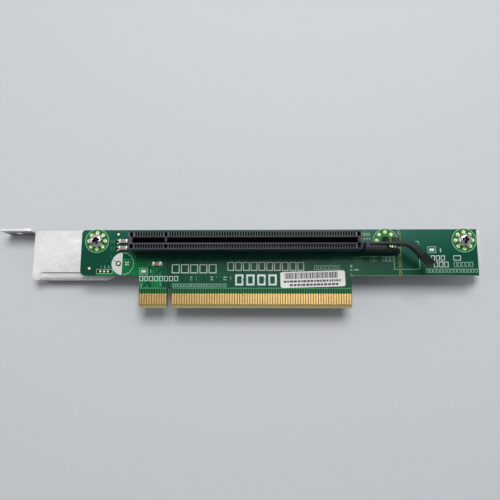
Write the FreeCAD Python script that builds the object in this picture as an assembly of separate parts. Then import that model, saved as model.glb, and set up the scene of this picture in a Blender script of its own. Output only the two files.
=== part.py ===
import FreeCAD, Part
import math
import os

# A riser card: a printed circuit board with a 164-contact edge connector below, a 164-contact
# card slot with a retention latch on its face, and a folded steel bracket screwed to its back.
#
# Frame, in millimetres: X runs along the card, Y runs up the card from the edge connector and
# Z comes out of the component side. The origin is on the key notch's centre line, at the
# tongue's edge, at the middle of the board's thickness.

Vector = FreeCAD.Vector

# ---------------------------------------------------------------- contact layout
contact_pitch = 1.0
contacts_before_key = 11
contacts_after_key = 71
key_to_contact = 1.5

# ---------------------------------------------------------------- circuit board
board_thickness = 1.6
board_left = -36.3
board_length = 158.4
strip_height = 18.6
strip_corner_left_top = 1.5
strip_corner_left_bottom = 2.0
tongue_height = 12.8
tongue_margin = 0.65
tongue_shoulder = 1.2
notch_width = 1.9
notch_depth = 8.3
bevel_height = 1.35
bevel_depth = 0.45

# ---------------------------------------------------------------- gold fingers
finger_width = 0.7
finger_length = 4.2
finger_setback = 0.1
plating_thickness = 0.05

# ---------------------------------------------------------------- holes in the board
fixing_hole_radius = 1.65
fixing_hole_below_top = 4.5
fixing_hole_left_inset = 6.3
fixing_hole_right_inset = 5.0
spare_hole_inset = 36.1
break_line_inset = 30.6
break_hole_radius = 0.4
small_hole_sides = 8
break_hole_pitch = 1.375
break_hole_count = 14
lead_hole_count = 2
lead_hole_radius = 0.45
lead_hole_spacing = 3.5
lead_hole_inset = 15.35
lead_hole_above_shoulder = 4.9

# ---------------------------------------------------------------- card slot
slot_key_offset = 0.25
slot_centre_height = 25.2
housing_before_key = 14.5
housing_after_key = 74.5
housing_width = 7.2
housing_height = 11.25
slit_width = 1.8
slit_depth = 8.9
slit_lead_in = 0.2
slit_before_key = 12.9
slit_after_key = 72.7
key_rib_width = 1.5
key_rib_crest = 0.8
key_rib_lead_in = 1.0
rail_thickness = 0.65
rail_height = 1.2
slit_end_web = 0.8
key_web = 0.3
chamber_width = 0.7
chamber_reach = 1.45
key_pocket_width = 1.3
end_pocket_width = 1.35
end_pocket_depth = 6.0
end_wall = 0.55
peg_radius = 1.1
peg_length = 2.4
peg_inset = 1.5
peg_clearance = 0.05
peg_sides = 8

# ---------------------------------------------------------------- slot contacts
slot_contact_width = 0.5
slot_contact_thickness = 0.3
crown_reach = 0.12
crown_below_top = 3.0
contact_tip_below_top = 0.9
contact_tip_inset = 0.25
contact_root_gap = 0.15
solder_width = 0.9
solder_height = 1.3
solder_row_inner = 1.25
solder_row_outer = 3.0

# ---------------------------------------------------------------- retention latch
latch_socket_length = 1.85
latch_socket_inner = 1.05
latch_fit = 0.05
latch_tongue_height = 7.2
latch_gap = 1.2
latch_root_length = 1.6
latch_root_width = 2.95
arm_width = 1.05
arm_height = 3.75
arm_step = 11.2
arm_step_length = 0.5
arm_thick_width = 1.55
arm_bend_from_slot = 17.75
arm_bend_angle = 45.0
arm_bend_radius = 4.0
arm_reach = 11.0
grip_length = 5.5
grip_height = 5.75
grip_flare = 0.6
grip_corner = 0.3
nub_start = 10.9
nub_length = 3.4
nub_reach = 2.2
nub_drop = 2.5
nub_height = 3.2
foot_length = 13.4
foot_width = 1.65
foot_crest = 1.2
foot_toe_height = 2.4
foot_peg_radius = 0.75
foot_peg_inset = 2.2

# ---------------------------------------------------------------- bracket
sheet = 1.0
bend_radius = 0.6
card_gap = 3.0
flange_depth = 7.0
rail_above_board = 1.1
rail_width = 3.2
rail_short_of_right_hole = 5.1
left_pad_outward = 27.7
left_pad_inward = 7.1
left_pad_height = 21.05
right_pad_outward = 8.4
right_pad_inward = 3.6
right_pad_height = 20.0
right_pad_short_of_rail = 0.85
rail_fillet = 3.0
corner_small = 0.6
corner_medium = 2.5
corner_large = 4.0
foot_flange_inset = 3.2
foot_flange_length = 26.0
joggle_width = 3.15
joggle_drop = 0.5
ear_length = 12.8
ear_height = 9.6
ear_relief = 0.8
ear_neck_drop = 1.0
ear_hole_radius = 1.25
ear_hole_from_end = 5.55
ear_hole_above_base = 4.45

# ---------------------------------------------------------------- screws and standoffs
screw_radius = 1.5
screw_length = 5.0
screw_head_radius = 2.8
screw_head_height = 2.2
screw_head_rim = 0.9
screw_head_crown_radius = 1.7
thread_clearance = 0.05
standoff_radius = 2.7
clinch_sides = 6
clinch_across_corners = 5.0
clinch_clearance = 0.02

# ---------------------------------------------------------------- chip capacitors and label
chip_length = 3.2
chip_width = 1.6
chip_height = 1.2
chip_terminal = 0.55
chip_terminal_wrap = 0.03
chip_column_from_slot = 4.85
chip_upper_above_slot = 1.5
chip_lower_below_slot = 1.3
chip_centre_before_key = 5.45
chip_centre_below_slot = 7.75
label_length = 25.6
label_width = 6.35
label_thickness = 0.1
label_corner = 0.8
label_from_tongue_end = 15.25
label_below_strip = 1.4
label_turn = 1.6

# ---------------------------------------------------------------- working allowances
overcut = 1.0
point_tolerance = 1e-6

# ---------------------------------------------------------------- levels and places worked out
board_face = board_thickness / 2
board_back = -board_thickness / 2
board_right = board_left + board_length
board_top = tongue_height + strip_height
tongue_left = -(key_to_contact + (contacts_before_key - 1) * contact_pitch + tongue_margin)
tongue_right = key_to_contact + (contacts_after_key - 1) * contact_pitch + tongue_margin
fixing_hole_y = board_top - fixing_hole_below_top
left_hole_x = board_left + fixing_hole_left_inset
right_hole_x = board_right - fixing_hole_right_inset
spare_hole_x = board_right - spare_hole_inset
housing_left = slot_key_offset - housing_before_key
housing_right = slot_key_offset + housing_after_key
housing_top = board_face + housing_height
chamber_inner = slit_width / 2 + rail_thickness
chamber_outer = chamber_inner + chamber_reach
peg_left_x = housing_left + peg_inset
peg_right_x = housing_right - peg_inset
plate_face = board_back - card_gap
plate_under = plate_face - sheet
bracket_base = plate_face - flange_depth
outer_bend = bend_radius + sheet
rail_face = board_top + rail_above_board
rail_right = right_hole_x - rail_short_of_right_hole
left_pad_left = left_hole_x - left_pad_outward
left_pad_right = left_hole_x + left_pad_inward
left_pad_bottom = rail_face - left_pad_height
right_pad_left = right_hole_x - right_pad_inward
right_pad_right = right_hole_x + right_pad_outward
right_pad_bottom = rail_face - right_pad_height
right_pad_top = rail_face - right_pad_short_of_rail
foot_flange_left = left_pad_left + foot_flange_inset
foot_flange_right = foot_flange_left + foot_flange_length
chip_column_x = housing_left - chip_column_from_slot
chip_upper_y = slot_centre_height + chip_upper_above_slot
chip_lower_y = slot_centre_height - chip_lower_below_slot
chip_centre_x = slot_key_offset - chip_centre_before_key
chip_centre_y = slot_centre_height - chip_centre_below_slot
label_centre_x = tongue_right - label_from_tongue_end
label_centre_y = tongue_height - label_below_strip


def box(x_low, x_high, y_low, y_high, z_low, z_high):
    """Rectangular block between two opposite corners."""
    size = Vector(x_high - x_low, y_high - y_low, z_high - z_low)
    return Part.makeBox(size.x, size.y, size.z, Vector(x_low, y_low, z_low))


def rod(radius, x, y, z_low, z_high):
    """Upright cylinder."""
    return Part.makeCylinder(radius, z_high - z_low, Vector(x, y, z_low))


def prism(sides, radius, x, y, z_low, z_high):
    """Upright prism over a regular polygon, its corners at the given radius."""
    corners = []
    for i in range(sides):
        angle = 2 * math.pi * (i + 0.5) / sides
        corners.append(Vector(x + radius * math.cos(angle), y + radius * math.sin(angle), z_low))
    return polygon_face(corners).extrude(Vector(0, 0, z_high - z_low))


def polygon_face(points):
    """Flat face through a closed list of points."""
    return Part.Face(Part.makePolygon(points + [points[0]]))


def rounded_face(corners, z):
    """Flat face at height z that turns each (x, y, radius) corner on an arc."""
    arcs = []
    for place, (x, y, radius) in enumerate(corners):
        corner = Vector(x, y, z)
        before = Vector(corners[place - 1][0], corners[place - 1][1], z)
        after_corner = corners[(place + 1) % len(corners)]
        after = Vector(after_corner[0], after_corner[1], z)
        towards = (before - corner).normalize()
        away = (after - corner).normalize()
        half_angle = towards.getAngle(away) / 2
        middle = (towards + away).normalize()
        start = corner + towards * (radius / math.tan(half_angle))
        end = corner + away * (radius / math.tan(half_angle))
        crest = corner + middle * (radius / math.sin(half_angle) - radius)
        arcs.append((start, crest, end))
    edges = []
    for place, (start, crest, end) in enumerate(arcs):
        if start.distanceToPoint(end) > point_tolerance:
            edges.append(Part.Arc(start, crest, end).toShape())
        following = arcs[(place + 1) % len(arcs)][0]
        if end.distanceToPoint(following) > point_tolerance:
            edges.append(Part.LineSegment(end, following).toShape())
    return Part.Face(Part.Wire(edges))


def plate_of(corners, z_low, z_high):
    """Flat plate with a rounded outline between two heights."""
    return rounded_face(corners, z_low).extrude(Vector(0, 0, z_high - z_low))


def fuse_all(shapes):
    """One solid from pieces that overlap or meet."""
    return shapes[0].multiFuse(shapes[1:]).removeSplitter()


def cut_all(shape, tools):
    """Shape with every tool removed from it."""
    return shape.cut(Part.makeCompound(tools))


def contact_places(key_x):
    """X of every contact of one row, counted out from the key on both sides."""
    before = [key_x - key_to_contact - i * contact_pitch for i in range(contacts_before_key)]
    after = [key_x + key_to_contact + i * contact_pitch for i in range(contacts_after_key)]
    return before[::-1] + after


def circuit_board():
    """Board outline with its tongue, key notch, bevelled edge and holes."""
    outline = [
        (tongue_left, 0, 0),
        (tongue_right, 0, 0),
        (tongue_right, tongue_height, tongue_shoulder),
        (board_right, tongue_height, 0),
        (board_right, board_top, 0),
        (board_left, board_top, strip_corner_left_top),
        (board_left, tongue_height, strip_corner_left_bottom),
        (tongue_left, tongue_height, tongue_shoulder),
    ]
    board = plate_of(outline, board_back, board_face)
    return cut_all(board, notch_tools() + bevel_tools() + hole_tools())


def notch_tools():
    """Key notch with a round end."""
    half = notch_width / 2
    low = board_back - overcut
    high = board_face + overcut
    channel = box(-half, half, -overcut, notch_depth - half, low, high)
    return [fuse_all([channel, rod(half, 0, notch_depth - half, low, high)])]


def bevel_tools():
    """Two wedges that bevel the tongue's edge on both faces."""
    tools = []
    start = tongue_left - overcut
    length = tongue_right - tongue_left + 2 * overcut
    slope = bevel_depth / bevel_height
    for side in (1, -1):
        foot = board_face - bevel_depth - overcut * slope
        points = [
            Vector(start, bevel_height, side * board_face),
            Vector(start, -overcut, side * foot),
            Vector(start, -overcut, side * (board_face + overcut)),
            Vector(start, bevel_height, side * (board_face + overcut)),
        ]
        tools.append(polygon_face(points).extrude(Vector(length, 0, 0)))
    return tools


def hole_tools():
    """Fixing holes, peg holes, lead holes and the line of break-off holes."""
    low = board_back - overcut
    high = board_face + overcut
    tools = [rod(fixing_hole_radius, x, fixing_hole_y, low, high) for x in
             (left_hole_x, right_hole_x, spare_hole_x)]
    for x in (peg_left_x, peg_right_x):
        tools.append(prism(peg_sides, peg_radius + peg_clearance, x, slot_centre_height, low, high))
    peg_x, peg_y = latch_peg_place()
    tools.append(prism(peg_sides, foot_peg_radius + peg_clearance, peg_x, peg_y, low, high))
    for i in range(lead_hole_count):
        x = board_left + lead_hole_inset + i * lead_hole_spacing
        y = tongue_height + lead_hole_above_shoulder
        tools.append(prism(small_hole_sides, lead_hole_radius, x, y, low, high))
    for i in range(break_hole_count):
        x = board_right - break_line_inset
        y = board_top - i * break_hole_pitch
        tools.append(prism(small_hole_sides, break_hole_radius, x, y, low, high))
    return tools


def edge_contacts(face_z, outward):
    """One row of plated fingers on one face of the tongue."""
    low = bevel_height + finger_setback
    z_low, z_high = sorted((face_z, face_z + outward * plating_thickness))
    half = finger_width / 2
    pads = [box(x - half, x + half, low, low + finger_length, z_low, z_high)
            for x in contact_places(0)]
    return Part.makeCompound(pads)


def slot_housing():
    """Moulded slot body: card slit, key rib, contact chambers, end pockets and pegs."""
    half = housing_width / 2
    body = box(housing_left, housing_right, slot_centre_height - half, slot_centre_height + half,
               board_face, housing_top)
    body = cut_all(body, slit_tools() + chamber_tools() + pocket_tools() + [latch_socket()])
    pegs = [prism(peg_sides, peg_radius, x, slot_centre_height, board_face - peg_length, board_face)
            for x in (peg_left_x, peg_right_x)]
    return fuse_all([body, key_rib()] + pegs)


def slit_tools():
    """The slit that a card's edge drops into, with a lead-in above and undercuts for contacts."""
    left = slot_key_offset - slit_before_key
    right = slot_key_offset + slit_after_key
    sill = housing_top - slit_depth
    mouth = slit_width / 2
    key_side = key_rib_width / 2 + key_web
    undercuts = [box(start, end, slot_centre_height - chamber_inner,
                     slot_centre_height + chamber_inner, sill, housing_top - rail_height)
                 for start, end in ((left + slit_end_web, slot_key_offset - key_side),
                                    (slot_key_offset + key_side, right - slit_end_web))]
    lead_in = polygon_face([
        Vector(left, slot_centre_height - mouth - slit_lead_in, housing_top),
        Vector(left, slot_centre_height - mouth, housing_top - slit_lead_in),
        Vector(left, slot_centre_height + mouth, housing_top - slit_lead_in),
        Vector(left, slot_centre_height + mouth + slit_lead_in, housing_top),
    ]).extrude(Vector(right - left, 0, 0))
    return [box(left, right, slot_centre_height - mouth, slot_centre_height + mouth,
                sill, housing_top + overcut), lead_in] + undercuts


def key_rib():
    """Rib across the slit that fits the card's key notch, narrowed at its crest."""
    half = key_rib_width / 2
    crest = key_rib_crest / 2
    front = slot_centre_height - slit_width / 2
    points = [
        Vector(slot_key_offset - half, front, housing_top - slit_depth),
        Vector(slot_key_offset + half, front, housing_top - slit_depth),
        Vector(slot_key_offset + half, front, housing_top - key_rib_lead_in),
        Vector(slot_key_offset + crest, front, housing_top),
        Vector(slot_key_offset - crest, front, housing_top),
        Vector(slot_key_offset - half, front, housing_top - key_rib_lead_in),
    ]
    return polygon_face(points).extrude(Vector(0, slit_width, 0))


def chamber_tools():
    """Contact chambers behind the rails, as deep as the slit."""
    tools = []
    for side in (1, -1):
        y_low, y_high = sorted((slot_centre_height + side * chamber_inner,
                                slot_centre_height + side * chamber_outer))
        for x in contact_places(slot_key_offset):
            tools.append(box(x - chamber_width / 2, x + chamber_width / 2, y_low, y_high,
                             housing_top - slit_depth, housing_top + overcut))
    return tools


def pocket_tools():
    """Wider blind pockets beside the key and at the ends of both rows."""
    spans = [(slot_key_offset - key_pocket_width / 2, key_pocket_width),
             (housing_left + end_wall, end_pocket_width),
             (housing_right - end_wall - end_pocket_width, end_pocket_width)]
    tools = []
    for side in (1, -1):
        y_low, y_high = sorted((slot_centre_height + side * chamber_inner,
                                slot_centre_height + side * chamber_outer))
        for x, width in spans:
            tools.append(box(x, x + width, y_low, y_high,
                             housing_top - end_pocket_depth, housing_top + overcut))
    return tools


def latch_socket():
    """Open slot in the housing's end that takes the latch's tongue."""
    return box(housing_right - latch_socket_length, housing_right + overcut,
               slot_centre_height - chamber_outer, slot_centre_height - latch_socket_inner,
               board_face - overcut, housing_top + overcut)


def slot_contacts(side):
    """One row of spring contacts, each bent into the slit and back behind the rail."""
    root = chamber_outer - contact_root_gap
    crown = slit_width / 2 - crown_reach
    tip = chamber_inner + contact_tip_inset
    bend = housing_top - crown_below_top
    points = [(root, housing_top - slit_depth), (crown, bend),
              (tip, housing_top - contact_tip_below_top), (crown + slot_contact_thickness, bend)]
    strips = []
    for x in contact_places(slot_key_offset):
        start = x - slot_contact_width / 2
        corners = [Vector(start, slot_centre_height + side * y, z) for y, z in points]
        strips.append(polygon_face(corners).extrude(Vector(slot_contact_width, 0, 0)))
    return Part.makeCompound(strips)


def solder_joints():
    """Solder peaks on the board's back, in two staggered lines for each contact row."""
    joints = []
    half = solder_width / 2
    for side in (1, -1):
        for count, x in enumerate(contact_places(slot_key_offset)):
            line = solder_row_inner if count % 2 else solder_row_outer
            y = slot_centre_height + side * line
            base = [Vector(x - half, y - half, board_back), Vector(x + half, y - half, board_back),
                    Vector(x + half, y + half, board_back), Vector(x - half, y + half, board_back)]
            joints.append(pyramid(base, Vector(x, y, board_back - solder_height)))
    return Part.makeCompound(joints)


def pyramid(base, apex):
    """Closed solid over a flat base with one apex."""
    faces = [polygon_face(base)]
    for place, corner in enumerate(base):
        faces.append(polygon_face([corner, base[place - 1], apex]))
    solid = Part.Solid(Part.Shell(faces))
    if solid.Volume < 0:
        solid.reverse()
    return solid


def latch_peg_place():
    """Centre of the peg under the latch's foot."""
    x = housing_right + latch_gap + latch_root_length + foot_length - foot_peg_inset
    y = slot_centre_height - housing_width / 2 + foot_width / 2
    return x, y


def card_latch():
    """One-piece latch: tongue, root, spring arm with its hook and grip, and a sloping foot."""
    root_left = housing_right + latch_gap
    root_right = root_left + latch_root_length
    low = slot_centre_height - housing_width / 2
    high = low + latch_root_width
    root = box(root_left, root_right, low, high, board_face, housing_top)
    tongue = box(housing_right - latch_socket_length + latch_fit, root_left,
                 slot_centre_height - chamber_outer + latch_fit,
                 slot_centre_height - latch_socket_inner - latch_fit,
                 board_face, board_face + latch_tongue_height)
    peg_x, peg_y = latch_peg_place()
    peg = prism(peg_sides, foot_peg_radius, peg_x, peg_y, board_face - peg_length, board_face)
    pieces = [root, tongue, latch_arm(root_right, high), latch_grip(high),
              latch_nub(root_right, high), latch_foot(root_right, low), peg]
    return fuse_all(pieces)


def bend_frame(high):
    """Corner of the arm's centre line, and the directions along and across its far part."""
    corner = Vector(housing_right + arm_bend_from_slot, high - arm_width / 2, 0)
    turn = math.radians(arm_bend_angle)
    along = Vector(math.cos(turn), -math.sin(turn), 0)
    across = Vector(math.sin(turn), math.cos(turn), 0)
    return corner, along, across


def latch_arm(start, high):
    """Thin spring arm that thickens past the hook and turns down towards the edge connector."""
    root_left = start - latch_root_length
    corner, along, across = bend_frame(high)
    half = arm_thick_width / 2
    shift = half * math.tan(math.radians(arm_bend_angle) / 2)
    end = corner + along * arm_reach
    low_end = end - across * half
    high_end = end + across * half
    step = start + arm_step
    outline = [
        (root_left, high - arm_width, 0),
        (step, high - arm_width, 0),
        (step + arm_step_length, corner.y - half, 0),
        (corner.x - shift, corner.y - half, arm_bend_radius - half),
        (low_end.x, low_end.y, grip_corner),
        (high_end.x, high_end.y, grip_corner),
        (corner.x + shift, corner.y + half, arm_bend_radius + half),
        (step + arm_step_length, corner.y + half, 0),
        (step, high, 0),
        (root_left, high, 0),
    ]
    return plate_of(outline, housing_top - arm_height, housing_top)


def latch_grip(high):
    """Finger grip at the arm's end: deeper than the arm and flared outwards."""
    corner, along, across = bend_frame(high)
    half = arm_thick_width / 2
    near = corner + along * (arm_reach - grip_length)
    far = corner + along * arm_reach
    points = [near - across * half, far - across * (half + grip_flare), far + across * half,
              near + across * half]
    outline = [(point.x, point.y, grip_corner) for point in points]
    return plate_of(outline, housing_top - grip_height, housing_top)


def latch_nub(start, high):
    """Hook that holds the card down, with a sloping lead-in on top."""
    top = housing_top
    profile = [
        Vector(start + nub_start, high - arm_width / 2, top),
        Vector(start + nub_start, high, top),
        Vector(start + nub_start, high + nub_reach, top - nub_drop),
        Vector(start + nub_start, high + nub_reach, top - nub_height),
        Vector(start + nub_start, high - arm_width / 2, top - nub_height),
    ]
    return polygon_face(profile).extrude(Vector(nub_length, 0, 0))


def latch_foot(start, low):
    """Foot on the board that braces the root, sloping down to its toe."""
    root_left = start - latch_root_length
    crest = start + foot_crest
    toe = start + foot_length
    profile = [
        Vector(root_left, low, board_face),
        Vector(toe, low, board_face),
        Vector(toe, low, board_face + foot_toe_height),
        Vector(crest, low, housing_top),
        Vector(root_left, low, housing_top),
    ]
    return polygon_face(profile).extrude(Vector(0, foot_width, 0))


def mounting_bracket():
    """Folded steel bracket: pads at both ends, a rail along the top, an ear and a foot flange."""
    pieces = [bracket_plate(), bracket_joggle(), bracket_ear()]
    pieces += [folded_flange(left_pad_left, rail_right, rail_face, 1, plate_face)]
    pieces += [folded_flange(foot_flange_left, foot_flange_right, left_pad_bottom, -1,
                             plate_face - joggle_drop)]
    low = plate_under - overcut
    high = plate_face + overcut
    reach = clinch_across_corners / 2 + clinch_clearance
    tools = [prism(clinch_sides, reach, x, fixing_hole_y, low, high)
             for x in (left_hole_x, right_hole_x)]
    return cut_all(fuse_all(pieces), tools)


def bracket_plate():
    """Flat web: a wide pad at each end joined by a narrow strip along the rail."""
    rail_line = rail_face - outer_bend
    rail_bottom = rail_face - rail_width
    outline = [
        (left_pad_left, left_pad_bottom, corner_medium),
        (left_pad_right, left_pad_bottom, corner_large),
        (left_pad_right, rail_bottom, rail_fillet),
        (right_pad_left, rail_bottom, rail_fillet),
        (right_pad_left, right_pad_bottom, corner_large),
        (right_pad_right, right_pad_bottom, corner_medium),
        (right_pad_right, right_pad_top, corner_small),
        (rail_right, right_pad_top, 0),
        (rail_right, rail_line, 0),
        (left_pad_left, rail_line, 0),
    ]
    plate = plate_of(outline, plate_under, plate_face)
    band = box(foot_flange_left, foot_flange_right, left_pad_bottom - overcut,
               left_pad_bottom + joggle_width, plate_under - overcut, plate_face + overcut)
    return plate.cut(band)


def bracket_joggle():
    """Band pressed down below the left pad, which carries the foot flange."""
    return box(foot_flange_left, foot_flange_right, left_pad_bottom + outer_bend,
               left_pad_bottom + joggle_width, plate_under - joggle_drop,
               plate_face - joggle_drop)


def folded_flange(x_low, x_high, outer_y, side, top):
    """Rolled bend and the flange below it, whose outer face lies at outer_y."""
    centre_y = outer_y - side * outer_bend
    centre_z = top - outer_bend
    inner_y = outer_y - side * sheet
    turn = math.cos(math.radians(45))

    def at(y, z):
        return Vector(x_low, y, z)

    outer_arc = Part.Arc(at(centre_y, top), at(centre_y + side * outer_bend * turn,
                         centre_z + outer_bend * turn), at(outer_y, centre_z)).toShape()
    inner_arc = Part.Arc(at(inner_y, centre_z), at(centre_y + side * bend_radius * turn,
                         centre_z + bend_radius * turn), at(centre_y, top - sheet)).toShape()
    down_outer = Part.LineSegment(at(outer_y, centre_z), at(outer_y, bracket_base)).toShape()
    foot = Part.LineSegment(at(outer_y, bracket_base), at(inner_y, bracket_base)).toShape()
    up_inner = Part.LineSegment(at(inner_y, bracket_base), at(inner_y, centre_z)).toShape()
    close = Part.LineSegment(at(centre_y, top - sheet), at(centre_y, top)).toShape()
    section = Part.Face(Part.Wire([outer_arc, down_outer, foot, up_inner, inner_arc, close]))
    return section.extrude(Vector(x_high - x_low, 0, 0))


def bracket_ear():
    """Upright ear that carries the rail on past the plate, above a relief notch."""
    ear_right = left_pad_left - ear_relief
    ear_left = ear_right - ear_length
    top = bracket_base + ear_height
    neck_top = plate_face - outer_bend - ear_neck_drop
    inner = rail_face - sheet
    tab = box(ear_left, ear_right, inner, rail_face, bracket_base, top)
    neck = box(ear_right, left_pad_left, inner, rail_face, bracket_base, neck_top)
    mouth = Vector(ear_left + ear_hole_from_end, inner - overcut, bracket_base + ear_hole_above_base)
    hole = Part.makeCylinder(ear_hole_radius, sheet + 2 * overcut, mouth, Vector(0, 1, 0))
    return fuse_all([tab, neck]).cut(hole)


def standoff(x):
    """Standoff with a hexagonal foot clinched into the plate, bored for the screw."""
    barrel = rod(standoff_radius, x, fixing_hole_y, plate_face, board_back)
    reach = clinch_across_corners / 2
    clinch = prism(clinch_sides, reach, x, fixing_hole_y, plate_under, plate_face)
    bore = rod(screw_radius + thread_clearance, x, fixing_hole_y, plate_under - overcut,
               board_back + overcut)
    return fuse_all([barrel, clinch]).cut(bore)


def screw(x):
    """Pan head screw through the board into its standoff."""
    crown = board_face + screw_head_height
    rim = board_face + screw_head_rim
    shank = rod(screw_radius, x, fixing_hole_y, board_face - screw_length, board_face)
    head = rod(screw_head_radius, x, fixing_hole_y, board_face, rim)
    dome = Part.makeCone(screw_head_radius, screw_head_crown_radius, crown - rim,
                         Vector(x, fixing_hole_y, rim))
    return fuse_all([shank, head, dome])


def chip_body(x, y):
    """Ceramic body of a chip capacitor between its two terminals."""
    reach = chip_length / 2 - chip_terminal
    half = chip_width / 2 - chip_terminal_wrap
    return box(x - reach, x + reach, y - half, y + half, board_face,
               board_face + chip_height - chip_terminal_wrap)


def chip_terminals(x, y):
    """Two plated ends of a chip capacitor."""
    reach = chip_length / 2
    half = chip_width / 2
    top = board_face + chip_height
    return Part.makeCompound([
        box(x - reach, x - reach + chip_terminal, y - half, y + half, board_face, top),
        box(x + reach - chip_terminal, x + reach, y - half, y + half, board_face, top),
    ])


def board_label():
    """Paper label, stuck on at a slight angle."""
    half_length = label_length / 2
    half_width = label_width / 2
    label = plate_of([
        (-half_length, -half_width, label_corner),
        (half_length, -half_width, label_corner),
        (half_length, half_width, label_corner),
        (-half_length, half_width, label_corner),
    ], board_face, board_face + label_thickness)
    label.rotate(Vector(0, 0, 0), Vector(0, 0, 1), label_turn)
    label.translate(Vector(label_centre_x, label_centre_y, 0))
    return label


os.makedirs("parts", exist_ok=True)

nodes = {
    "circuit_board": circuit_board(),
    "edge_contacts_front": edge_contacts(board_face, 1),
    "edge_contacts_back": edge_contacts(board_back, -1),
    "slot_housing": slot_housing(),
    "slot_contacts_upper": slot_contacts(1),
    "slot_contacts_lower": slot_contacts(-1),
    "solder_joints": solder_joints(),
    "card_latch": card_latch(),
    "mounting_bracket": mounting_bracket(),
    "standoff_left": standoff(left_hole_x),
    "standoff_right": standoff(right_hole_x),
    "screw_left": screw(left_hole_x),
    "screw_right": screw(right_hole_x),
    "capacitor_upper_body": chip_body(chip_column_x, chip_upper_y),
    "capacitor_upper_terminals": chip_terminals(chip_column_x, chip_upper_y),
    "capacitor_lower_body": chip_body(chip_column_x, chip_lower_y),
    "capacitor_lower_terminals": chip_terminals(chip_column_x, chip_lower_y),
    "capacitor_centre_body": chip_body(chip_centre_x, chip_centre_y),
    "capacitor_centre_terminals": chip_terminals(chip_centre_x, chip_centre_y),
    "board_label": board_label(),
}

for name, shape in nodes.items():
    shape.exportStep("parts/" + name + ".step")
    print(name, len(shape.Solids), "solids,", round(shape.Volume, 2), "mm3")
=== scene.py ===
# %% [markdown]
# # Dressing a riser card
# The card is a printed circuit board with gold fingers on its lower edge, a long black slot on its
# face and a folded zinc-plated bracket behind it. The construction is already modelled and packed.
# This file gives every part its real finish, and adds what is too fine for the construction:
# the printed legend, the copper tracks, the solder, the springs in the slot and the screw heads.
#
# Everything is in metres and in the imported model's own frame: X runs along the card, Y runs up
# from the gold fingers and Z comes out of the component side. Places are read from the packed
# parts, so a feature stays on its part when the part changes.

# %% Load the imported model
import math
import random

import bmesh
import bpy
from mathutils import Matrix, Vector


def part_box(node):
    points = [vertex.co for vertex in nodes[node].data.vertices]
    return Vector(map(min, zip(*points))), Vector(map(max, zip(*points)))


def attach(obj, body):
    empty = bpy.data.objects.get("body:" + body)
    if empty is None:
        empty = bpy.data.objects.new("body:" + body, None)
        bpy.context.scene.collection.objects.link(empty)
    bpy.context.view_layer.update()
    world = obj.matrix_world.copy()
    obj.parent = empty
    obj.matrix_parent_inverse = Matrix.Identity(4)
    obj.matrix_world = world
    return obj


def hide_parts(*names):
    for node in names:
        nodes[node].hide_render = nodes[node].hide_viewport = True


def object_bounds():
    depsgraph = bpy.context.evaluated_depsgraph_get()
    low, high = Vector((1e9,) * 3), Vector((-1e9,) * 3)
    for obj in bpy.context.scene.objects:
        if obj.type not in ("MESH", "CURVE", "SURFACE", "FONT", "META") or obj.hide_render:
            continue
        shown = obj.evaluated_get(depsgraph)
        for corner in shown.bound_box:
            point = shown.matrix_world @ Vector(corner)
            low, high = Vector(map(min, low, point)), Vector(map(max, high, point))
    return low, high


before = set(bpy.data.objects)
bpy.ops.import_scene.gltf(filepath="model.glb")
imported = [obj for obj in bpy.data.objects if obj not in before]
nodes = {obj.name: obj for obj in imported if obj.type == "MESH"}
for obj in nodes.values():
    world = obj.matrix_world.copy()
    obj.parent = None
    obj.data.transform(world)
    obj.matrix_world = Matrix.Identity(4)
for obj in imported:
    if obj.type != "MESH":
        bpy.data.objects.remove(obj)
cad_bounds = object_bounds()
mm = 0.001
print("packed parts:", len(nodes), "box from", tuple(cad_bounds[0]), "to", tuple(cad_bounds[1]))

# %% [markdown]
# ## The places everything else hangs on
# The printed legend and the tracks line up with the holes, the slot and the fingers. So these few
# places are worked out once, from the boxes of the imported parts. pad_left and pad_bottom are the
# edges of the bracket's left pad, and tongue_left and tongue_right the ends of the board's tongue.

# %% Datum places
board_low, board_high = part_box("circuit_board")
slot_low, slot_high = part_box("slot_housing")
finger_low, finger_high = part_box("edge_contacts_front")
board_face = board_high.z
board_back = board_low.z
hole_left = sum(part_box("screw_left"), Vector()) / 2
hole_right = sum(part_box("screw_right"), Vector()) / 2
hole_spare = Vector((board_high.x - 36.1 * mm, hole_right.y, 0))
break_line_x = board_high.x - 30.6 * mm
slot_middle_y = (slot_low.y + slot_high.y) / 2
slot_key_x = slot_low.x + 14.5 * mm
pad_left = hole_left.x - 27.7 * mm
pad_bottom = board_high.y - 19.95 * mm
tongue_left = finger_low.x - 0.3 * mm
tongue_right = finger_high.x + 0.3 * mm
print("board face", round(board_face / mm, 3), "slot key at", round(slot_key_x / mm, 3))


def contact_places(key_x):
    """X of the 82 contacts of one row: 11 before the key and 71 after it, 1 mm apart."""
    before = [key_x - (1.5 + i) * mm for i in range(11)]
    after = [key_x + (1.5 + i) * mm for i in range(71)]
    return before[::-1] + after


# %% [markdown]
# ## Materials, part one: shared effects
# A real surface is never one even colour. Three effects come back in many of the finishes below,
# so each is a shader node group with named inputs: a *grain* (fine height for a Bump node), a
# *smudge* (slow change of gloss and tone, as handling leaves), and the *green mask*, the lacquer
# that lies over laminate and copper alike. A group puts out only values and colours. The shader
# itself stays in each material, because an exporter can't look for it inside a group.

# %% Node helpers
def add_node(tree, kind, **settings):
    """A node of the given kind, with its properties set."""
    node = tree.nodes.new(kind)
    for name, value in settings.items():
        setattr(node, name, value)
    return node


def set_inputs(node, values):
    """Sets input defaults by name."""
    for name, value in values.items():
        node.inputs[name].default_value = value
    return node


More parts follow.
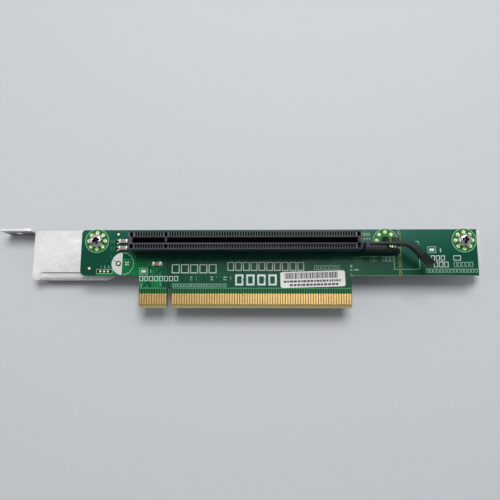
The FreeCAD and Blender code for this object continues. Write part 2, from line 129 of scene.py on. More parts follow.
def new_group(name, inputs, outputs):
    """An empty shader group with named sockets, and its two end nodes."""
    group = bpy.data.node_groups.new(name, "ShaderNodeTree")
    for label, (kind, value) in inputs.items():
        socket = group.interface.new_socket(label, in_out="INPUT", socket_type=kind)
        if value is not None:
            socket.default_value = value
    for label, kind in outputs.items():
        group.interface.new_socket(label, in_out="OUTPUT", socket_type=kind)
    return group, add_node(group, "NodeGroupInput"), add_node(group, "NodeGroupOutput")


def feed(tree, socket, value):
    """Gives an input its value: another socket, a number or an (r, g, b)."""
    if isinstance(value, tuple):
        socket.default_value = (*value, 1)
    elif isinstance(value, (int, float)):
        socket.default_value = value
    else:
        tree.links.new(value, socket)


def math_node(tree, operation, *operands):
    """A Math node; each operand is a socket or a number."""
    node = add_node(tree, "ShaderNodeMath", operation=operation)
    for place, operand in enumerate(operands):
        feed(tree, node.inputs[place], operand)
    return node.outputs[0]


def axes_of(tree, vector):
    """The X, Y and Z of a vector, as three sockets."""
    split = add_node(tree, "ShaderNodeSeparateXYZ")
    tree.links.new(vector, split.inputs[0])
    return tuple(split.outputs)


def noise_of(tree, coordinates, scale, detail):
    """A noise value over the given coordinates."""
    noise = set_inputs(add_node(tree, "ShaderNodeTexNoise"), {"Detail": detail})
    tree.links.new(coordinates, noise.inputs["Vector"])
    feed(tree, noise.inputs["Scale"], scale)
    return noise.outputs["Fac"]


def mix(tree, factor, first, second, kind="RGBA"):
    """A colour between two others, or a value where kind is FLOAT."""
    node = add_node(tree, "ShaderNodeMix", data_type=kind)
    for label, value in (("Factor", factor), ("A", first), ("B", second)):
        feed(tree, [s for s in node.inputs if s.name == label and s.enabled][0], value)
    return [s for s in node.outputs if s.enabled][0]


def value_range(tree, value, low, high, to_low, to_high):
    """Value carried from one range to another, clamped."""
    node = add_node(tree, "ShaderNodeMapRange")
    tree.links.new(value, node.inputs["Value"])
    set_inputs(node, {"From Min": low, "From Max": high, "To Min": to_low, "To Max": to_high})
    return node.outputs["Result"]


print("node helpers ready")


# %% The grain group
def make_grain_group():
    """Fine height from two sizes of noise."""
    group, start, end = new_group(
        "grain",
        {"Vector": ("NodeSocketVector", None), "Scale": ("NodeSocketFloat", 2000.0)},
        {"Height": "NodeSocketFloat"})
    coarse = noise_of(group, start.outputs["Vector"], start.outputs["Scale"], 3)
    fine_scale = math_node(group, "MULTIPLY", start.outputs["Scale"], 4.3)
    fine = noise_of(group, start.outputs["Vector"], fine_scale, 2)
    height = math_node(group, "MULTIPLY_ADD", fine, 0.4, coarse)
    group.links.new(height, end.inputs["Height"])
    return group


grain_group = make_grain_group()
print("group", grain_group.name, "with", len(grain_group.nodes), "nodes")


# %% The smudge group
def make_smudge_group():
    """A mask that wanders slowly over the surface."""
    group, start, end = new_group(
        "smudge",
        {"Vector": ("NodeSocketVector", None), "Size": ("NodeSocketFloat", 90.0)},
        {"Mask": "NodeSocketFloat"})
    slow = noise_of(group, start.outputs["Vector"], start.outputs["Size"], 4)
    group.links.new(value_range(group, slow, 0.3, 0.7, 0.0, 1.0), end.inputs["Mask"])
    return group


smudge_group = make_smudge_group()
print("group", smudge_group.name, "with", len(smudge_group.nodes), "nodes")


# %% The green mask group
def make_mask_group():
    """Green lacquer over a base: its tone shifts a little with its thickness."""
    group, start, end = new_group(
        "green_mask",
        {"Vector": ("NodeSocketVector", None), "Tone": ("NodeSocketColor", (0.01, 0.15, 0.06, 1)),
         "Shift": ("NodeSocketFloat", 0.3)},
        {"Color": "NodeSocketColor", "Roughness": "NodeSocketFloat"})
    slow = noise_of(group, start.outputs["Vector"], 140.0, 3)
    darker = add_node(group, "ShaderNodeHueSaturation")
    set_inputs(darker, {"Value": 0.72, "Saturation": 1.05})
    group.links.new(start.outputs["Tone"], darker.inputs["Color"])
    share = math_node(group, "MULTIPLY", value_range(group, slow, 0.35, 0.65, 0.0, 1.0),
                      start.outputs["Shift"])
    colour = mix(group, share, start.outputs["Tone"], darker.outputs["Color"])
    group.links.new(colour, end.inputs["Color"])
    group.links.new(value_range(group, slow, 0.3, 0.7, 0.24, 0.34), end.inputs["Roughness"])
    return group


mask_group = make_mask_group()
print("group", mask_group.name, "with", len(mask_group.nodes), "nodes")

# %% [markdown]
# ## Materials, part two: the finishes
# Each finish starts from the same skeleton: a Principled shader and object coordinates. A grain
# drives a Bump node in all of them, and a smudge drives the roughness in most. A plain finish then
# differs only in its two colours, its metal and the few sizes passed in. The board, the slot, the
# screws and the bracket add patterns of their own.


# %% Skeleton of a finish
def start_finish(name, **sockets):
    """A material with its shader and object coordinates; sockets sets the shader's constants."""
    material = bpy.data.materials.new(name)
    material.use_nodes = True
    tree = material.node_tree
    shader = tree.nodes["Principled BSDF"]
    set_inputs(shader, {label.replace("_", " "): value for label, value in sockets.items()})
    coordinates = add_node(tree, "ShaderNodeTexCoord").outputs["Object"]
    return material, tree, shader, coordinates


def add_grain(tree, shader, coordinates, scale, distance):
    """Bump from the grain group."""
    grain = add_node(tree, "ShaderNodeGroup", node_tree=grain_group)
    grain.inputs["Scale"].default_value = scale
    tree.links.new(coordinates, grain.inputs["Vector"])
    bump = set_inputs(add_node(tree, "ShaderNodeBump"), {"Distance": distance})
    tree.links.new(grain.outputs["Height"], bump.inputs["Height"])
    tree.links.new(bump.outputs["Normal"], shader.inputs["Normal"])
    return bump


def add_smudge(tree, shader, coordinates, size, smooth, rough):
    """Roughness that wanders between two values; gives back the smudge node."""
    smudge = add_node(tree, "ShaderNodeGroup", node_tree=smudge_group)
    smudge.inputs["Size"].default_value = size
    tree.links.new(coordinates, smudge.inputs["Vector"])
    roughness = value_range(tree, smudge.outputs["Mask"], 0, 1, smooth, rough)
    tree.links.new(roughness, shader.inputs["Roughness"])
    return smudge


def plain_finish(name, colour, variant, roughness, grain, size=90.0, **sockets):
    """A finish of two near colours. roughness is (smooth, rough), grain is (scale, distance)."""
    material, tree, shader, coordinates = start_finish(name, **sockets)
    smudge = add_smudge(tree, shader, coordinates, size, *roughness)
    add_grain(tree, shader, coordinates, *grain)
    blend = mix(tree, smudge.outputs["Mask"], colour, variant)
    tree.links.new(blend, shader.inputs["Base Color"])
    return material


# %% Plastics, metals, ceramic and print
latch_plastic = plain_finish("latch_plastic", (0.017, 0.021, 0.022), (0.024, 0.028, 0.029),
                             (0.40, 0.52), (2200, 0.00003), Specular_IOR_Level=0.25)
gold = plain_finish("gold", (0.72, 0.505, 0.195), (0.63, 0.41, 0.143),
                    (0.26, 0.38), (1500, 0.00001), size=260.0, Metallic=0.6)
# painted shade: the springs are painted dark brown instead of their gold, for the shade in the
# chambers
contact_metal = plain_finish("contact_metal", (0.12, 0.09, 0.06), (0.08, 0.06, 0.04),
                             (0.28, 0.38), (1500, 0.00001), size=260.0, Metallic=1.0)
solder = plain_finish("solder", (0.90, 0.89, 0.84), (0.76, 0.75, 0.70),
                      (0.22, 0.34), (900, 0.00005), size=400.0, Metallic=0.7)
standoff_steel = plain_finish("standoff_steel", (0.70, 0.70, 0.68), (0.60, 0.60, 0.58),
                              (0.28, 0.40), (1400, 0.00003), size=200.0, Metallic=1.0)
ceramic_body = plain_finish("ceramic_body", (0.29, 0.205, 0.185), (0.35, 0.26, 0.235),
                            (0.38, 0.50), (3000, 0.00002), size=500.0)
legend_ink = plain_finish("legend_ink", (0.74, 0.84, 0.78), (0.60, 0.74, 0.66),
                          (0.45, 0.58), (4000, 0.00001), size=300.0, Specular_IOR_Level=0.2)
pale_ink = plain_finish("pale_ink", (0.34, 0.60, 0.46), (0.26, 0.50, 0.36),
                        (0.42, 0.55), (4000, 0.00001), size=300.0, Specular_IOR_Level=0.2)
grey_ink = plain_finish("grey_ink", (0.64, 0.67, 0.66), (0.56, 0.59, 0.58),
                        (0.45, 0.58), (4000, 0.00001), size=1200.0, Specular_IOR_Level=0.2)
# faint print; the same ink also paints the slot's shadow over one row of boxes
faint_ink = plain_finish("faint_ink", (0.12, 0.33, 0.21), (0.08, 0.25, 0.15),
                         (0.42, 0.55), (4000, 0.00001), size=300.0, Specular_IOR_Level=0.2)
pad_tin = plain_finish("pad_tin", (0.95, 0.97, 0.70), (0.84, 0.86, 0.54),
                       (0.34, 0.46), (1800, 0.00002), size=400.0, Metallic=0.25)
olive_tin = plain_finish("olive_tin", (0.30, 0.38, 0.09), (0.22, 0.30, 0.07),
                         (0.34, 0.46), (1800, 0.00002), size=400.0, Metallic=0.25)
print("plain finishes:", len(bpy.data.materials))


# %% [markdown]
# ### The board's own finish
# One solid shows five surfaces. On the faces there is lacquer: a dull blue-green over most of the
# board and a brighter green where a copper area lies close under it. Around the fingers the
# lacquer is left off, so bare tan laminate shows between them and on the bevel. The cut edges
# show the laminate's glass layers as fine lines. Each surface is picked out by where it lies or
# which way it faces, so one material covers them all, and no seam can open between two pieces.

# %% Board finish
def step_mask(tree, value, edge, softness):
    """0 below the edge and 1 above it, with a soft change."""
    return value_range(tree, value, edge - softness, edge + softness, 0.0, 1.0)


def opposite(tree, mask):
    """1 where the mask is 0, and 0 where it is 1."""
    return math_node(tree, "SUBTRACT", 1.0, mask)


def band_mask(tree, value, low, high, softness):
    """1 between two values."""
    above = step_mask(tree, value, low, softness)
    below = step_mask(tree, value, high, softness)
    return math_node(tree, "SUBTRACT", above, below)


def make_board_finish():
    material, tree, shader, coordinates = start_finish("solder_mask", Specular_IOR_Level=0.15)
    x, y = axes_of(tree, coordinates)[:2]
    facing = axes_of(tree, add_node(tree, "ShaderNodeNewGeometry").outputs["True Normal"])
    flat = math_node(tree, "ABSOLUTE", facing[2])

    lacquer = add_node(tree, "ShaderNodeGroup", node_tree=mask_group)
    lacquer.inputs["Shift"].default_value = 0.5
    tree.links.new(coordinates, lacquer.inputs["Vector"])
    above_tongue = step_mask(tree, y, 17.0 * mm, 3.0 * mm)
    tone = mix(tree, above_tongue, (0.005, 0.070, 0.034), (0.002, 0.070, 0.040))
    # painted sheen: the lacquer's tone is painted lighter towards the board's top edge
    painted_sheen_near_top = step_mask(tree, y, 27.0 * mm, 5.0 * mm)
    tone = mix(tree, painted_sheen_near_top, tone, (0.012, 0.125, 0.075))
    tone = mix(tree, copper_areas(tree, x, y), tone, (0.005, 0.225, 0.055))
    tone = mix(tree, hole_fields(tree, x, y), tone, (0.022, 0.185, 0.022))
    tone = mix(tree, header_field(tree, x, y), tone, (0.001, 0.022, 0.005))
    # painted highlight: a pale line is painted along the board's lower edge, right of the tongue,
    # where the edge catches the light
    painted_edge_highlight = box_mask(tree, x, y, tongue_right / mm, 121.8, 12.4, 12.96, 0.06)
    tone = mix(tree, painted_edge_highlight, tone, (0.110, 0.350, 0.230))
    over_fingers = band_mask(tree, y, 5.6 * mm, 7.7 * mm, 0.1 * mm)
    tone = mix(tree, over_fingers, tone, (0.002, 0.072, 0.022))
    tree.links.new(tone, lacquer.inputs["Tone"])

    weave = add_node(tree, "ShaderNodeTexWave", wave_type="BANDS", bands_direction="Z")
    set_inputs(weave, {"Scale": 900.0, "Distortion": 1.5, "Detail": 2.0})
    tree.links.new(coordinates, weave.inputs["Vector"])
    laminate = mix(tree, weave.outputs["Fac"], (0.040, 0.150, 0.090),
                   (0.080, 0.210, 0.120))
    rim = step_mask(tree, y, 0.55 * mm, 0.2 * mm)
    bevel = mix(tree, rim, (0.46, 0.44, 0.24), (0.26, 0.20, 0.07))
    bevel = mix(tree, noise_of(tree, coordinates, 900.0, 3), bevel, (0.36, 0.32, 0.15))
    bare = mix(tree, noise_of(tree, coordinates, 700.0, 2), (0.110, 0.052, 0.010),
               (0.16, 0.080, 0.018))
    window = opposite(tree, step_mask(tree, y, 5.72 * mm, 0.03 * mm))
    face = mix(tree, window, lacquer.outputs["Color"], bare)
    slanted = opposite(tree, step_mask(tree, flat, 0.98, 0.01))
    face_or_bevel = mix(tree, slanted, face, bevel)
    side = opposite(tree, step_mask(tree, flat, 0.5, 0.05))
    tree.links.new(mix(tree, side, face_or_bevel, laminate), shader.inputs["Base Color"])

    matt = math_node(tree, "MAXIMUM", window, slanted)
    rough = mix(tree, matt, lacquer.outputs["Roughness"], 0.6, kind="FLOAT")
    tree.links.new(rough, shader.inputs["Roughness"])
    add_grain(tree, shader, coordinates, 1100, 0.00002)
    return material


def box_mask(tree, x, y, left, right, low, high, softness):
    """1 inside a rectangle given in millimetres."""
    across = band_mask(tree, x, left * mm, right * mm, softness * mm)
    up = band_mask(tree, y, low * mm, high * mm, softness * mm)
    return math_node(tree, "MULTIPLY", across, up)


def copper_areas(tree, x, y):
    """Mask of the copper areas under the lacquer, cut by straight gaps."""
    mask = 0.0
    for left, right, low, high, share in ((-23.3, -3.2, 12.8, 19.8, 0.75),
                                          (-12.9, -3.2, 7.7, 12.9, 0.9),
                                          (-30.0, -23.0, 12.8, 13.6, 1.0),
                                          (62.0, 84.0, 14.0, 22.0, 0.12)):
        area = box_mask(tree, x, y, left, right, low, high, 0.15)
        mask = math_node(tree, "MAXIMUM", math_node(tree, "MULTIPLY", area, share), mask)
    slant = math_node(tree, "ADD", x, math_node(tree, "MULTIPLY", y, -1.0))
    gap = band_mask(tree, slant, -19.6 * mm, -18.4 * mm, 0.1 * mm)
    column = box_mask(tree, x, y, -8.6, -7.2, 7.0, 16.5, 0.1)
    clear = opposite(tree, math_node(tree, "MAXIMUM", gap, column))
    return math_node(tree, "MULTIPLY", mask, clear)


def round_mask(tree, x, y, centre, radius):
    """1 inside a circle whose radius is given in millimetres."""
    across = math_node(tree, "SUBTRACT", x, centre.x)
    up = math_node(tree, "SUBTRACT", y, centre.y)
    square = math_node(tree, "ADD", math_node(tree, "MULTIPLY", across, across),
                       math_node(tree, "MULTIPLY", up, up))
    reach = math_node(tree, "SQRT", square)
    return opposite(tree, step_mask(tree, reach, radius * mm, 0.1 * mm))


def hole_fields(tree, x, y):
    """Mask of the round copper fields about the three fixing holes."""
    mask = 0.0
    for hole in (hole_left, hole_spare, hole_right):
        mask = math_node(tree, "MAXIMUM", round_mask(tree, x, y, hole, 4.6), mask)
    return mask


def header_field(tree, x, y):
    """Mask of the field without copper under the header's three pins."""
    return box_mask(tree, x, y, -29.4, -23.4, 13.8, 15.3, 0.1)


solder_mask = make_board_finish()
print("board finish has", len(solder_mask.node_tree.nodes), "nodes")


# %% Track finish
def make_track_finish(name, tone, low_tone):
    """Lacquer of its own tone; low_tone is the tone below the line over the fingers."""
    material, tree, shader, coordinates = start_finish(name, Specular_IOR_Level=0.15)
    lacquer = add_node(tree, "ShaderNodeGroup", node_tree=mask_group)
    lacquer.inputs["Shift"].default_value = 0.8
    tree.links.new(coordinates, lacquer.inputs["Vector"])
    y = axes_of(tree, coordinates)[1]
    below_line = opposite(tree, step_mask(tree, y, 7.7 * mm, 0.1 * mm))
    tree.links.new(mix(tree, below_line, tone, low_tone), lacquer.inputs["Tone"])
    tree.links.new(lacquer.outputs["Color"], shader.inputs["Base Color"])
    tree.links.new(lacquer.outputs["Roughness"], shader.inputs["Roughness"])
    add_grain(tree, shader, coordinates, 1100, 0.00002)
    return material


track_lacquer = make_track_finish("track_lacquer", (0.016, 0.125, 0.070), (0.050, 0.300, 0.085))
dark_laminate = make_track_finish("dark_laminate", (0.045, 0.048, 0.016), (0.045, 0.048, 0.016))
# painted shade: the tone that stands for a via's dark hole
dark_via = make_track_finish("dark_via", (0.002, 0.010, 0.006), (0.002, 0.010, 0.006))
print("track finishes ready")


# %% [markdown]
# ### Slot plastic and screw steel
# The slot is one black moulding, but it doesn't read as one tone: on its top the far row of thin
# ribs is painted paler, a painted highlight, and the far rail and the near wall's top edge are
# painted darker, painted shade. Its near outer wall and its deep chambers are painted dark, painted
# shade too. On a screw the cross recess is painted dark as painted shade, and the plating round
# it is patchy. Both finishes pick these places out by where they lie.

# %% Slot finish
def make_slot_finish():
    material, tree, shader, coordinates = start_finish("slot_plastic", Specular_IOR_Level=0.25)
    add_smudge(tree, shader, coordinates, 90.0, 0.38, 0.48)
    add_grain(tree, shader, coordinates, 2600, 0.00002)
    y, z = axes_of(tree, coordinates)[1:]
    tone = mix(tree, noise_of(tree, coordinates, 300.0, 2), (0.026, 0.031, 0.039),
               (0.038, 0.044, 0.053))
    # painted highlight and painted shade on the top face: the far row of ribs paler, the far rail
    # darker, the near wall's top edge darker and bluer
    for low, high, colour in ((1.55, 3.0, (0.115, 0.120, 0.130)),
                              (0.9, 1.55, (0.014, 0.018, 0.025)),
                              (-1.55, -0.9, (0.045, 0.048, 0.056)),
                              (-3.0, -1.55, (0.048, 0.053, 0.063)),
                              (-3.7, -3.0, (0.020, 0.031, 0.044))):
        band = band_mask(tree, y, slot_middle_y + low * mm, slot_middle_y + high * mm, 0.03 * mm)
        tone = mix(tree, band, tone, colour)
    # painted shade: below the top, the chambers and the slit are painted near black
    below_top = opposite(tree, step_mask(tree, z, slot_high.z - 0.06 * mm, 0.03 * mm))
    chamber_shade_band = band_mask(tree, y, slot_middle_y - 3.1 * mm, slot_middle_y + 3.1 * mm, 0.02 * mm)
    tone = mix(tree, math_node(tree, "MULTIPLY", below_top, chamber_shade_band), tone,
               (0.003, 0.004, 0.007))
    # painted shade: the near outer wall, below the top, is painted dark blue-grey
    wall = band_mask(tree, y, slot_low.y - 1.0 * mm, slot_low.y + 0.3 * mm, 0.02 * mm)
    tone = mix(tree, math_node(tree, "MULTIPLY", below_top, wall), tone,
               (0.008, 0.016, 0.024))
    tree.links.new(tone, shader.inputs["Base Color"])
    return material


slot_plastic = make_slot_finish()
print("slot finish has", len(slot_plastic.node_tree.nodes), "nodes")


# %% Screw finish
def make_screw_finish():
    material, tree, shader, coordinates = start_finish("screw_steel", Metallic=1.0)
    add_smudge(tree, shader, coordinates, 300.0, 0.06, 0.18)
    add_grain(tree, shader, coordinates, 1400, 0.00002)
    patchy = value_range(tree, noise_of(tree, coordinates, 430.0, 2), 0.50, 0.60, 0.0, 1.0)
    tone = mix(tree, patchy, (0.95, 0.93, 0.91), (0.38, 0.34, 0.32))
    x, y, z = axes_of(tree, coordinates)
    screw_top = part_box("screw_left")[1].z
    # painted shade: the cross recess is painted dark brown below the head's top
    deep = opposite(tree, step_mask(tree, z, screw_top - 0.42 * mm, 0.12 * mm))
    middle = math_node(tree, "MAXIMUM", round_mask(tree, x, y, hole_left, 1.95),
                       round_mask(tree, x, y, hole_right, 1.95))
    recess = math_node(tree, "MULTIPLY", deep, middle)
    tree.links.new(mix(tree, recess, tone, (0.075, 0.050, 0.042)),
                   shader.inputs["Base Color"])
    return material


screw_steel = make_screw_finish()
print("screw finish has", len(screw_steel.node_tree.nodes), "nodes")


# %% [markdown]
# ### Zinc-plated sheet
# Hot-dip zinc freezes in crystals, the *spangle*: flat patches, here about a millimetre across,
# that each send light back a little differently. Voronoi cells give the patches. Their random
# colour moves both the brightness and the roughness, which is what makes a spangle look like metal
# rather than paint. The band of the step pressed into the sheet at the lower left is painted
# darker and ends in a dark crease, both painted shade, and the walls that are folded down along
# the card are painted darker too, as painted shade.

# %% Zinc finish
def make_zinc_finish():
    material, tree, shader, coordinates = start_finish("zinc_steel", Metallic=0.25)
    warp = add_node(tree, "ShaderNodeVectorMath", operation="MULTIPLY_ADD")
    noise = set_inputs(add_node(tree, "ShaderNodeTexNoise"), {"Scale": 500.0, "Detail": 2.0})
    tree.links.new(coordinates, noise.inputs["Vector"])
    tree.links.new(noise.outputs["Color"], warp.inputs[0])
    warp.inputs[1].default_value = (0.0015, 0.0015, 0.0015)
    tree.links.new(coordinates, warp.inputs[2])
    cells = set_inputs(add_node(tree, "ShaderNodeTexVoronoi"), {"Scale": 900.0})
    tree.links.new(warp.outputs[0], cells.inputs["Vector"])
    patch = add_node(tree, "ShaderNodeSeparateColor")
    tree.links.new(cells.outputs["Color"], patch.inputs[0])
    slow = value_range(tree, noise_of(tree, coordinates, 60.0, 3), 0.35, 0.65, 0.0, 1.0)
    share = math_node(tree, "MULTIPLY_ADD", patch.outputs["Red"], 0.6,
                      math_node(tree, "MULTIPLY", slow, 0.4))
    colour = mix(tree, share, (0.74, 0.76, 0.73), (0.90, 0.91, 0.88))
    x, y, z = axes_of(tree, coordinates)
    # painted shade: the sloping band of the pressed step is painted darker
    along = band_mask(tree, x, pad_left + 4.4 * mm, pad_left + 29.2 * mm, 1.6 * mm)
    up = band_mask(tree, y, 9.0 * mm, pad_bottom + 3.1 * mm, 0.2 * mm)
    pressed = math_node(tree, "MULTIPLY", along, up)
    shaded_step_tone = mix(tree, patch.outputs["Blue"], (0.64, 0.66, 0.65), (0.76, 0.78, 0.76))
    colour = mix(tree, pressed, colour, shaded_step_tone)
    # painted shade: a dark line is painted along the step's crease
    crease = box_mask(tree, x, y, pad_left / mm + 3.8, pad_left / mm + 29.2,
                      pad_bottom / mm + 3.0, pad_bottom / mm + 3.25, 0.12)
    colour = mix(tree, crease, colour, (0.20, 0.21, 0.20))
    # painted shade: walls facing along the card, below the sheet, are painted darker, more so
    # deeper down
    facing = axes_of(tree, add_node(tree, "ShaderNodeNewGeometry").outputs["True Normal"])
    level = step_mask(tree, math_node(tree, "ABSOLUTE", facing[2]), 0.3, 0.25)
    aside = step_mask(tree, math_node(tree, "ABSOLUTE", facing[0]), 0.6, 0.25)
    deep = value_range(tree, z, slot_low.z - 6.0 * mm, slot_low.z - 1.0 * mm, 0.9, 0.6)
    folded = math_node(tree, "MULTIPLY", opposite(tree, math_node(tree, "MAXIMUM", level, aside)),
                       deep)
    colour = mix(tree, folded, colour, (0.15, 0.16, 0.18))
    tree.links.new(colour, shader.inputs["Base Color"])
    roughness = value_range(tree, patch.outputs["Green"], 0, 1, 0.36, 0.50)
    tree.links.new(roughness, shader.inputs["Roughness"])
    add_grain(tree, shader, coordinates, 700, 0.00004)
    return material


zinc_steel = make_zinc_finish()
print("zinc finish has", len(zinc_steel.node_tree.nodes), "nodes")

# %% Label paper
label_paper = plain_finish("label_paper", (0.80, 0.79, 0.78), (0.72, 0.71, 0.70),
                           (0.50, 0.62), (2600, 0.00002), size=160.0)
label_print = plain_finish("label_print", (0.035, 0.032, 0.030), (0.06, 0.055, 0.05),
                           (0.50, 0.62), (2600, 0.00001), size=400.0)
print("paper and print ready")

# %% [markdown]
# ## Geometry helpers
# A finished piece is a plain mesh whose object sits at the origin. So every helper below builds
# its vertices in place, and a Geometry Nodes tree is evaluated once and turned into a mesh.


# %% Mesh helpers
smooth_angle = 40


def object_of(name, data):
    """An object in the scene that shows the data."""
    thing = bpy.data.objects.new(name, data)
    bpy.context.scene.collection.objects.link(thing)
    return thing


def mesh_object(name, vertices, edges, faces):
    """An object at the origin from plain lists, in metres."""
    mesh = bpy.data.meshes.new(name)
    mesh.from_pydata([tuple(v) for v in vertices], edges, faces)
    return object_of(name, mesh)


def settle(thing):
    """Turns the object's modifiers into a plain mesh and removes them."""
    depsgraph = bpy.context.evaluated_depsgraph_get()
    evaluated = thing.evaluated_get(depsgraph)
    thing.data = bpy.data.meshes.new_from_object(evaluated, depsgraph=depsgraph)
    thing.modifiers.clear()
    return thing


def run_tree(thing, tree, **settings):
    """Runs a Geometry Nodes tree over the object with its named inputs, and settles it."""
    modifier = thing.modifiers.new(tree.name, "NODES")
    modifier.node_group = tree
    for item in tree.interface.items_tree:
        label = item.name.replace(" ", "_").lower()
        if item.item_type == "SOCKET" and item.in_out == "INPUT" and label in settings:
            modifier[item.identifier] = settings[label]
    return settle(thing)


def belong(thing, material=None, replaces=()):
    """Finishes a piece: it rides on the one body and names its finish."""
    if material is not None:
        thing.data.materials.clear()
        thing.data.materials.append(material)
    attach(thing, "root")
    if replaces:
        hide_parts(*replaces)
    print(thing.name, len(thing.data.polygons), "faces")
    return thing


def join_meshes(name, things):
    """One object from several, keeping each face's material."""
    for thing in bpy.context.selected_objects:
        thing.select_set(False)
    for thing in things:
        thing.select_set(True)
    bpy.context.view_layer.objects.active = things[0]
    bpy.ops.object.join()
    things[0].name = name
    things[0].select_set(False)
    return things[0]


def smooth_by_angle(thing, degrees=smooth_angle):
    """Smooth shading, broken at edges sharper than the angle."""
    thing.data.shade_smooth()
    thing.data.set_sharp_from_angle(angle=math.radians(degrees))
    return thing


def round_edges(thing, width, segments):
    """Rounds off the edges sharper than 30 degrees by the width, with a Bevel modifier."""
    bevel = thing.modifiers.new("edge", "BEVEL")
    bevel.width = width
    bevel.segments = segments
    bevel.limit_method = "ANGLE"
    bevel.angle_limit = math.radians(30)
    return settle(thing)


def combine(thing, others, operation):
    """Boolean of the object with the others, which are used up by it."""
    for other in others:
        step = thing.modifiers.new("combine", "BOOLEAN")
        step.operation = operation
        step.solver = "EXACT"
        step.object = other
    settle(thing)
    for other in others:
        bpy.data.objects.remove(other)
    return thing


print("mesh helpers ready")

# %% [markdown]
# ## Geometry Nodes trees
# Three small trees make everything on the board's face that repeats or follows a line: a *ribbon*
# lays a flat strip along any chain of edges, a *ring stamp* puts a flat ring on every point, and a
# *pad circle* puts a circle of rings round every point. Two more come further down, for the slot's
# springs and for the solder on the back. Each tree has named inputs and ends in Realize Instances
# and Set Material.

# %% Tree helpers
def new_tree(name, inputs):
    """A Geometry Nodes tree with a geometry input and the named inputs, and its two end nodes."""
    tree = bpy.data.node_groups.new(name, "GeometryNodeTree")
    tree.interface.new_socket("Geometry", in_out="INPUT", socket_type="NodeSocketGeometry")
    for label, (kind, value) in inputs.items():
        socket = tree.interface.new_socket(label, in_out="INPUT", socket_type=kind)
        if value is not None:
            socket.default_value = value
    tree.interface.new_socket("Geometry", in_out="OUTPUT", socket_type="NodeSocketGeometry")
    return tree, add_node(tree, "NodeGroupInput"), add_node(tree, "NodeGroupOutput")


def flat_profile(tree, start):
    """Rectangle of the line's width and thickness."""
    profile = add_node(tree, "GeometryNodeCurvePrimitiveQuadrilateral")
    tree.links.new(start.outputs["Line Width"], profile.inputs["Width"])
    tree.links.new(start.outputs["Thickness"], profile.inputs["Height"])
    return profile.outputs[0]


def sweep(tree, curve, profile):
    """Mesh of the profile carried along the curve."""
    node = set_inputs(add_node(tree, "GeometryNodeCurveToMesh"), {"Fill Caps": True})
    tree.links.new(curve, node.inputs["Curve"])
    tree.links.new(profile, node.inputs["Profile Curve"])
    return node.outputs[0]


def stamp(tree, points, instance):
    """Instance on every point."""
    node = add_node(tree, "GeometryNodeInstanceOnPoints")
    tree.links.new(points, node.inputs["Points"])
    tree.links.new(instance, node.inputs["Instance"])
    return node


def end_tree(tree, start, end, geometry):
    """Realize Instances and Set Material, the last two steps of every tree."""
    real = add_node(tree, "GeometryNodeRealizeInstances")
    dress = add_node(tree, "GeometryNodeSetMaterial")
    tree.links.new(geometry, real.inputs[0])
    tree.links.new(real.outputs[0], dress.inputs["Geometry"])
    tree.links.new(start.outputs["Finish"], dress.inputs["Material"])
    tree.links.new(dress.outputs[0], end.inputs[0])
    return tree


line_inputs = {"Line Width": ("NodeSocketFloat", 0.2 * mm),
               "Thickness": ("NodeSocketFloat", 0.03 * mm), "Finish": ("NodeSocketMaterial", None)}
ring_inputs = {"Radius": ("NodeSocketFloat", 1 * mm), "Sides": ("NodeSocketInt", 24)}
circle_inputs = {"Count": ("NodeSocketInt", 8), "Circle Radius": ("NodeSocketFloat", 3 * mm)}
print("inputs of a line:", list(line_inputs))


# %% Ribbon, ring stamp and pad circle
def make_ribbon_tree():
    tree, start, end = new_tree("ribbon", line_inputs)
    chain = add_node(tree, "GeometryNodeMeshToCurve")
    tree.links.new(start.outputs["Geometry"], chain.inputs[0])
    return end_tree(tree, start, end, sweep(tree, chain.outputs[0], flat_profile(tree, start)))


def ring_in(tree, start):
    """One flat ring about the origin."""
    circle = add_node(tree, "GeometryNodeCurvePrimitiveCircle")
    tree.links.new(start.outputs["Radius"], circle.inputs["Radius"])
    tree.links.new(start.outputs["Sides"], circle.inputs["Resolution"])
    return sweep(tree, circle.outputs[0], flat_profile(tree, start))


def make_ring_tree():
    tree, start, end = new_tree("ring_stamp", {**ring_inputs, **line_inputs})
    rings = stamp(tree, start.outputs["Geometry"], ring_in(tree, start))
    return end_tree(tree, start, end, rings.outputs[0])


def make_circle_tree():
    tree, start, end = new_tree("pad_circle", {**circle_inputs, **ring_inputs, **line_inputs})
    spots = add_node(tree, "GeometryNodeMeshCircle")
    tree.links.new(start.outputs["Count"], spots.inputs["Vertices"])
    tree.links.new(start.outputs["Circle Radius"], spots.inputs["Radius"])
    one_circle = stamp(tree, spots.outputs[0], ring_in(tree, start))
    circles = stamp(tree, start.outputs["Geometry"], one_circle.outputs[0])
    return end_tree(tree, start, end, circles.outputs[0])


ribbon_tree = make_ribbon_tree()
ring_tree = make_ring_tree()
circle_tree = make_circle_tree()
print("trees:", ribbon_tree.name, ring_tree.name, circle_tree.name)


# %% Drawing with them
ink_height = 0.03 * mm


def points_object(name, places, z):
    """An object whose loose vertices are the places a tree stamps on."""
    return mesh_object(name, [(x, y, z) for x, y in places], [], [])


def rings(name, places, outer, inner, material, sides=24, thickness=ink_height):
    """Flat rings on the board about each place, of the given outer and inner radius."""
    spots = points_object(name, places, board_face + thickness / 2)
    return run_tree(spots, ring_tree, radius=(outer + inner) / 2, line_width=outer - inner,
                    thickness=thickness, sides=sides, finish=material)


